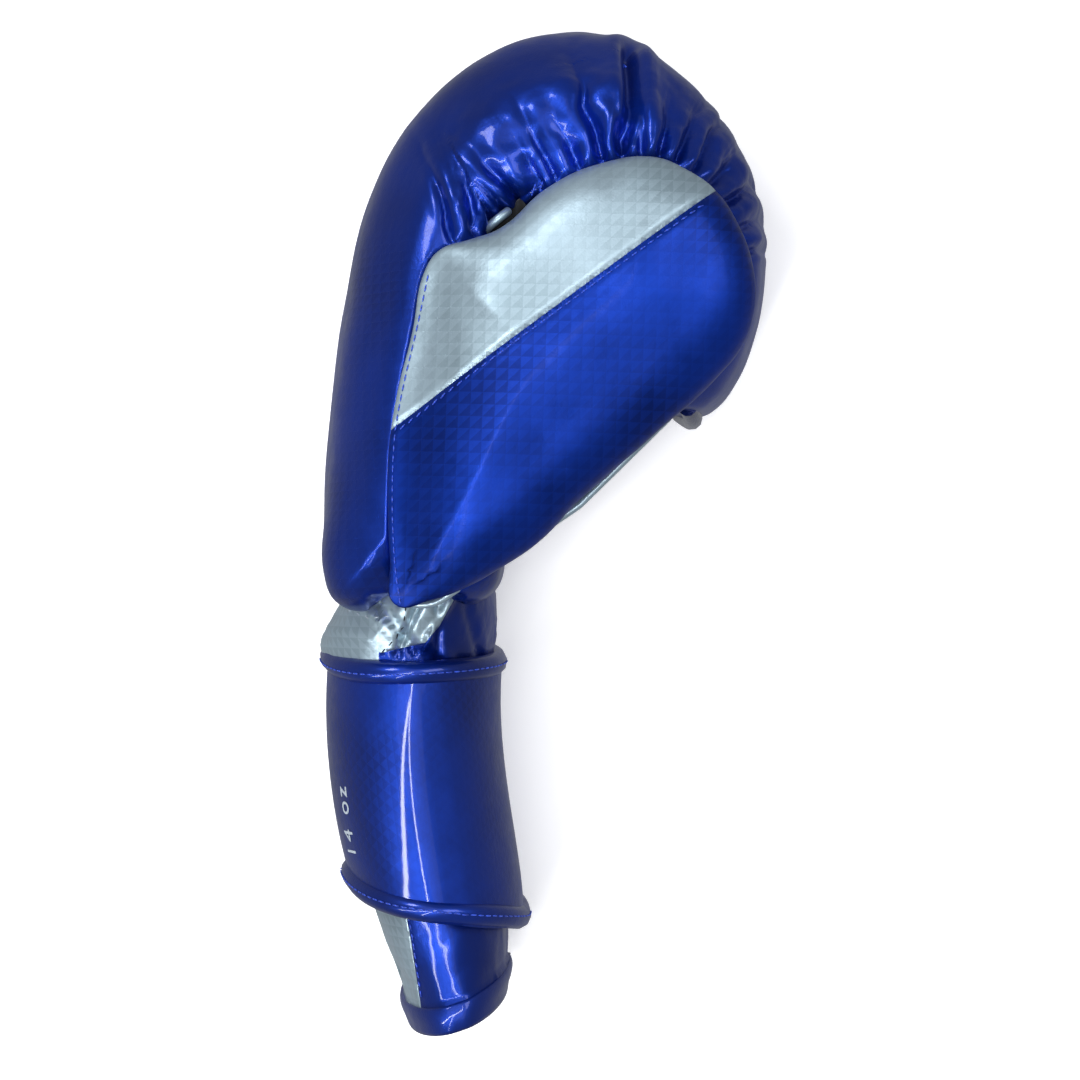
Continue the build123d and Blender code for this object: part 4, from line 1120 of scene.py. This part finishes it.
class GLOVE_OT_small_parts(bpy.types.Operator):
    """Gives the linings, tapes, cords and bindings their own finishes"""

    bl_idname = "glove.small_parts"
    bl_label = "Linings and tapes"

    def execute(self, context):
        finishes = {
            "lining": ("hand_liner", "passage_liner", "cuff_liner", "strap_inner_lining", "strap_outer_lining"),
            "elastic": ("slit_gusset",),
            "hooks": ("hook_patch",),
            "loops": ("loop_patch",),
            "rolled": ("mouth_binding", "strap_end_binding", "grip_bar_cover", "strap_anchor"),
            "wrist_silver": ("thumb_piping",),
            "foam": ("grip_bar",),
        }
        for key, names in finishes.items():
            for n in names:
                nodes[n].data.materials.clear()
                nodes[n].data.materials.append(stuff(key))
        return {"FINISHED"}


# ---------------------------------------------------------------- stage
# each lamp: where it stands from the glove's middle and its size, in metres, and its power
LAMPS = {
    "strip_left": ((-0.75, -0.45, 1.15), (0.06, 2.0), 30),
    "strip_centre": ((-0.22, -0.45, 1.35), (0.05, 2.0), 22),
    "window": ((-0.9, 1.0, 1.2), (0.5, 0.4), 24),
    "fill": ((0.9, 0.5, 1.2), (0.5, 0.9), 14),
    "overhead": ((0.1, 0.3, 1.8), (1.8, 1.8), 13),
}


def lamp(name, spot, target, size, power):
    data = bpy.data.lights.new(name, "AREA")
    data.shape = "RECTANGLE"
    data.size, data.size_y = size
    data.energy = power * settings().light
    holder = placed(name, data)
    holder.location = spot
    holder.rotation_euler = (target - spot).to_track_quat("-Z", "Y").to_euler()


class GLOVE_OT_stage(bpy.types.Operator):
    """Sets the pale floor, the studio lights and the camera above the thumb side"""

    bl_idname = "glove.stage"
    bl_label = "Stage"

    def execute(self, context):
        scene = context.scene
        bm = bmesh.new()
        bmesh.ops.create_grid(bm, x_segments=8, y_segments=8, size=2.5, matrix=Matrix.Translation((0, 0, -0.0005)))
        floor = new_piece("floor", bm)
        paper, tree = blank("studio_paper")
        place = add(tree, "ShaderNodeTexCoord").outputs["Object"]
        fibre = add(tree, "ShaderNodeTexNoise", [("Vector", place)], Scale=300.0, Detail=2.0)
        paint = two_colours(tree, fibre.outputs[0], "#FFFFFF", "#FAFAFA")
        sheet = add(tree, "ShaderNodeBsdfPrincipled", [("Base Color", paint)], Roughness=0.9)
        sheet.inputs["Emission Color"].default_value = linear("#FFFFFF")
        sheet.inputs["Emission Strength"].default_value = 0.3
        close(tree, sheet)
        floor.data.materials.append(paper)
        floor.visible_glossy = False
        world = bpy.data.worlds.new("studio")
        world.use_nodes = True
        world.node_tree.nodes["Background"].inputs[0].default_value = linear("#F4F7FF")
        world.node_tree.nodes["Background"].inputs[1].default_value = 0.3
        scene.world = world
        scene.view_settings.view_transform = "Standard"
        middle = at(0.3, 0.2, 75)
        for name, (away, size, power) in LAMPS.items():
            lamp(name, middle + Vector(away), middle, size, power)
        eye = bpy.data.cameras.new("camera")
        eye.sensor_width = 36
        eye.lens = 36 * 1.325 / 0.364
        eye.clip_start, eye.clip_end = 0.05, 20
        scene.camera = placed("camera", eye)
        scene.camera.location = at(0.3, 0.2, EYE_HEIGHT)
        return {"FINISHED"}


class GLOVE_PT_panel(bpy.types.Panel):
    bl_label = "Boxing glove"
    bl_idname = "GLOVE_PT_panel"
    bl_space_type = "VIEW_3D"
    bl_region_type = "UI"
    bl_category = "Glove"

    def draw(self, context):
        look = settings()
        for name in look.bl_rna.properties.keys():
            if name not in ("rna_type", "name"):
                self.layout.prop(look, name)
        for step in STEPS:
            self.layout.operator(step.bl_idname)


STEPS = (GLOVE_OT_mitt, GLOVE_OT_wrist, GLOVE_OT_cuff, GLOVE_OT_strap, GLOVE_OT_small_parts, GLOVE_OT_stage)
CLASSES = (GloveSettings, *STEPS, GLOVE_PT_panel)


def register():
    for kind in CLASSES:
        bpy.utils.register_class(kind)
    bpy.types.Scene.glove_settings = bpy.props.PointerProperty(type=GloveSettings)


def unregister():
    del bpy.types.Scene.glove_settings
    for kind in reversed(CLASSES):
        bpy.utils.unregister_class(kind)


def main():
    register()
    bpy.ops.glove.mitt()
    bpy.ops.glove.wrist()
    bpy.ops.glove.cuff()
    bpy.ops.glove.strap()
    bpy.ops.glove.small_parts()
    bpy.ops.glove.stage()


if __name__ == "__main__":
    main()
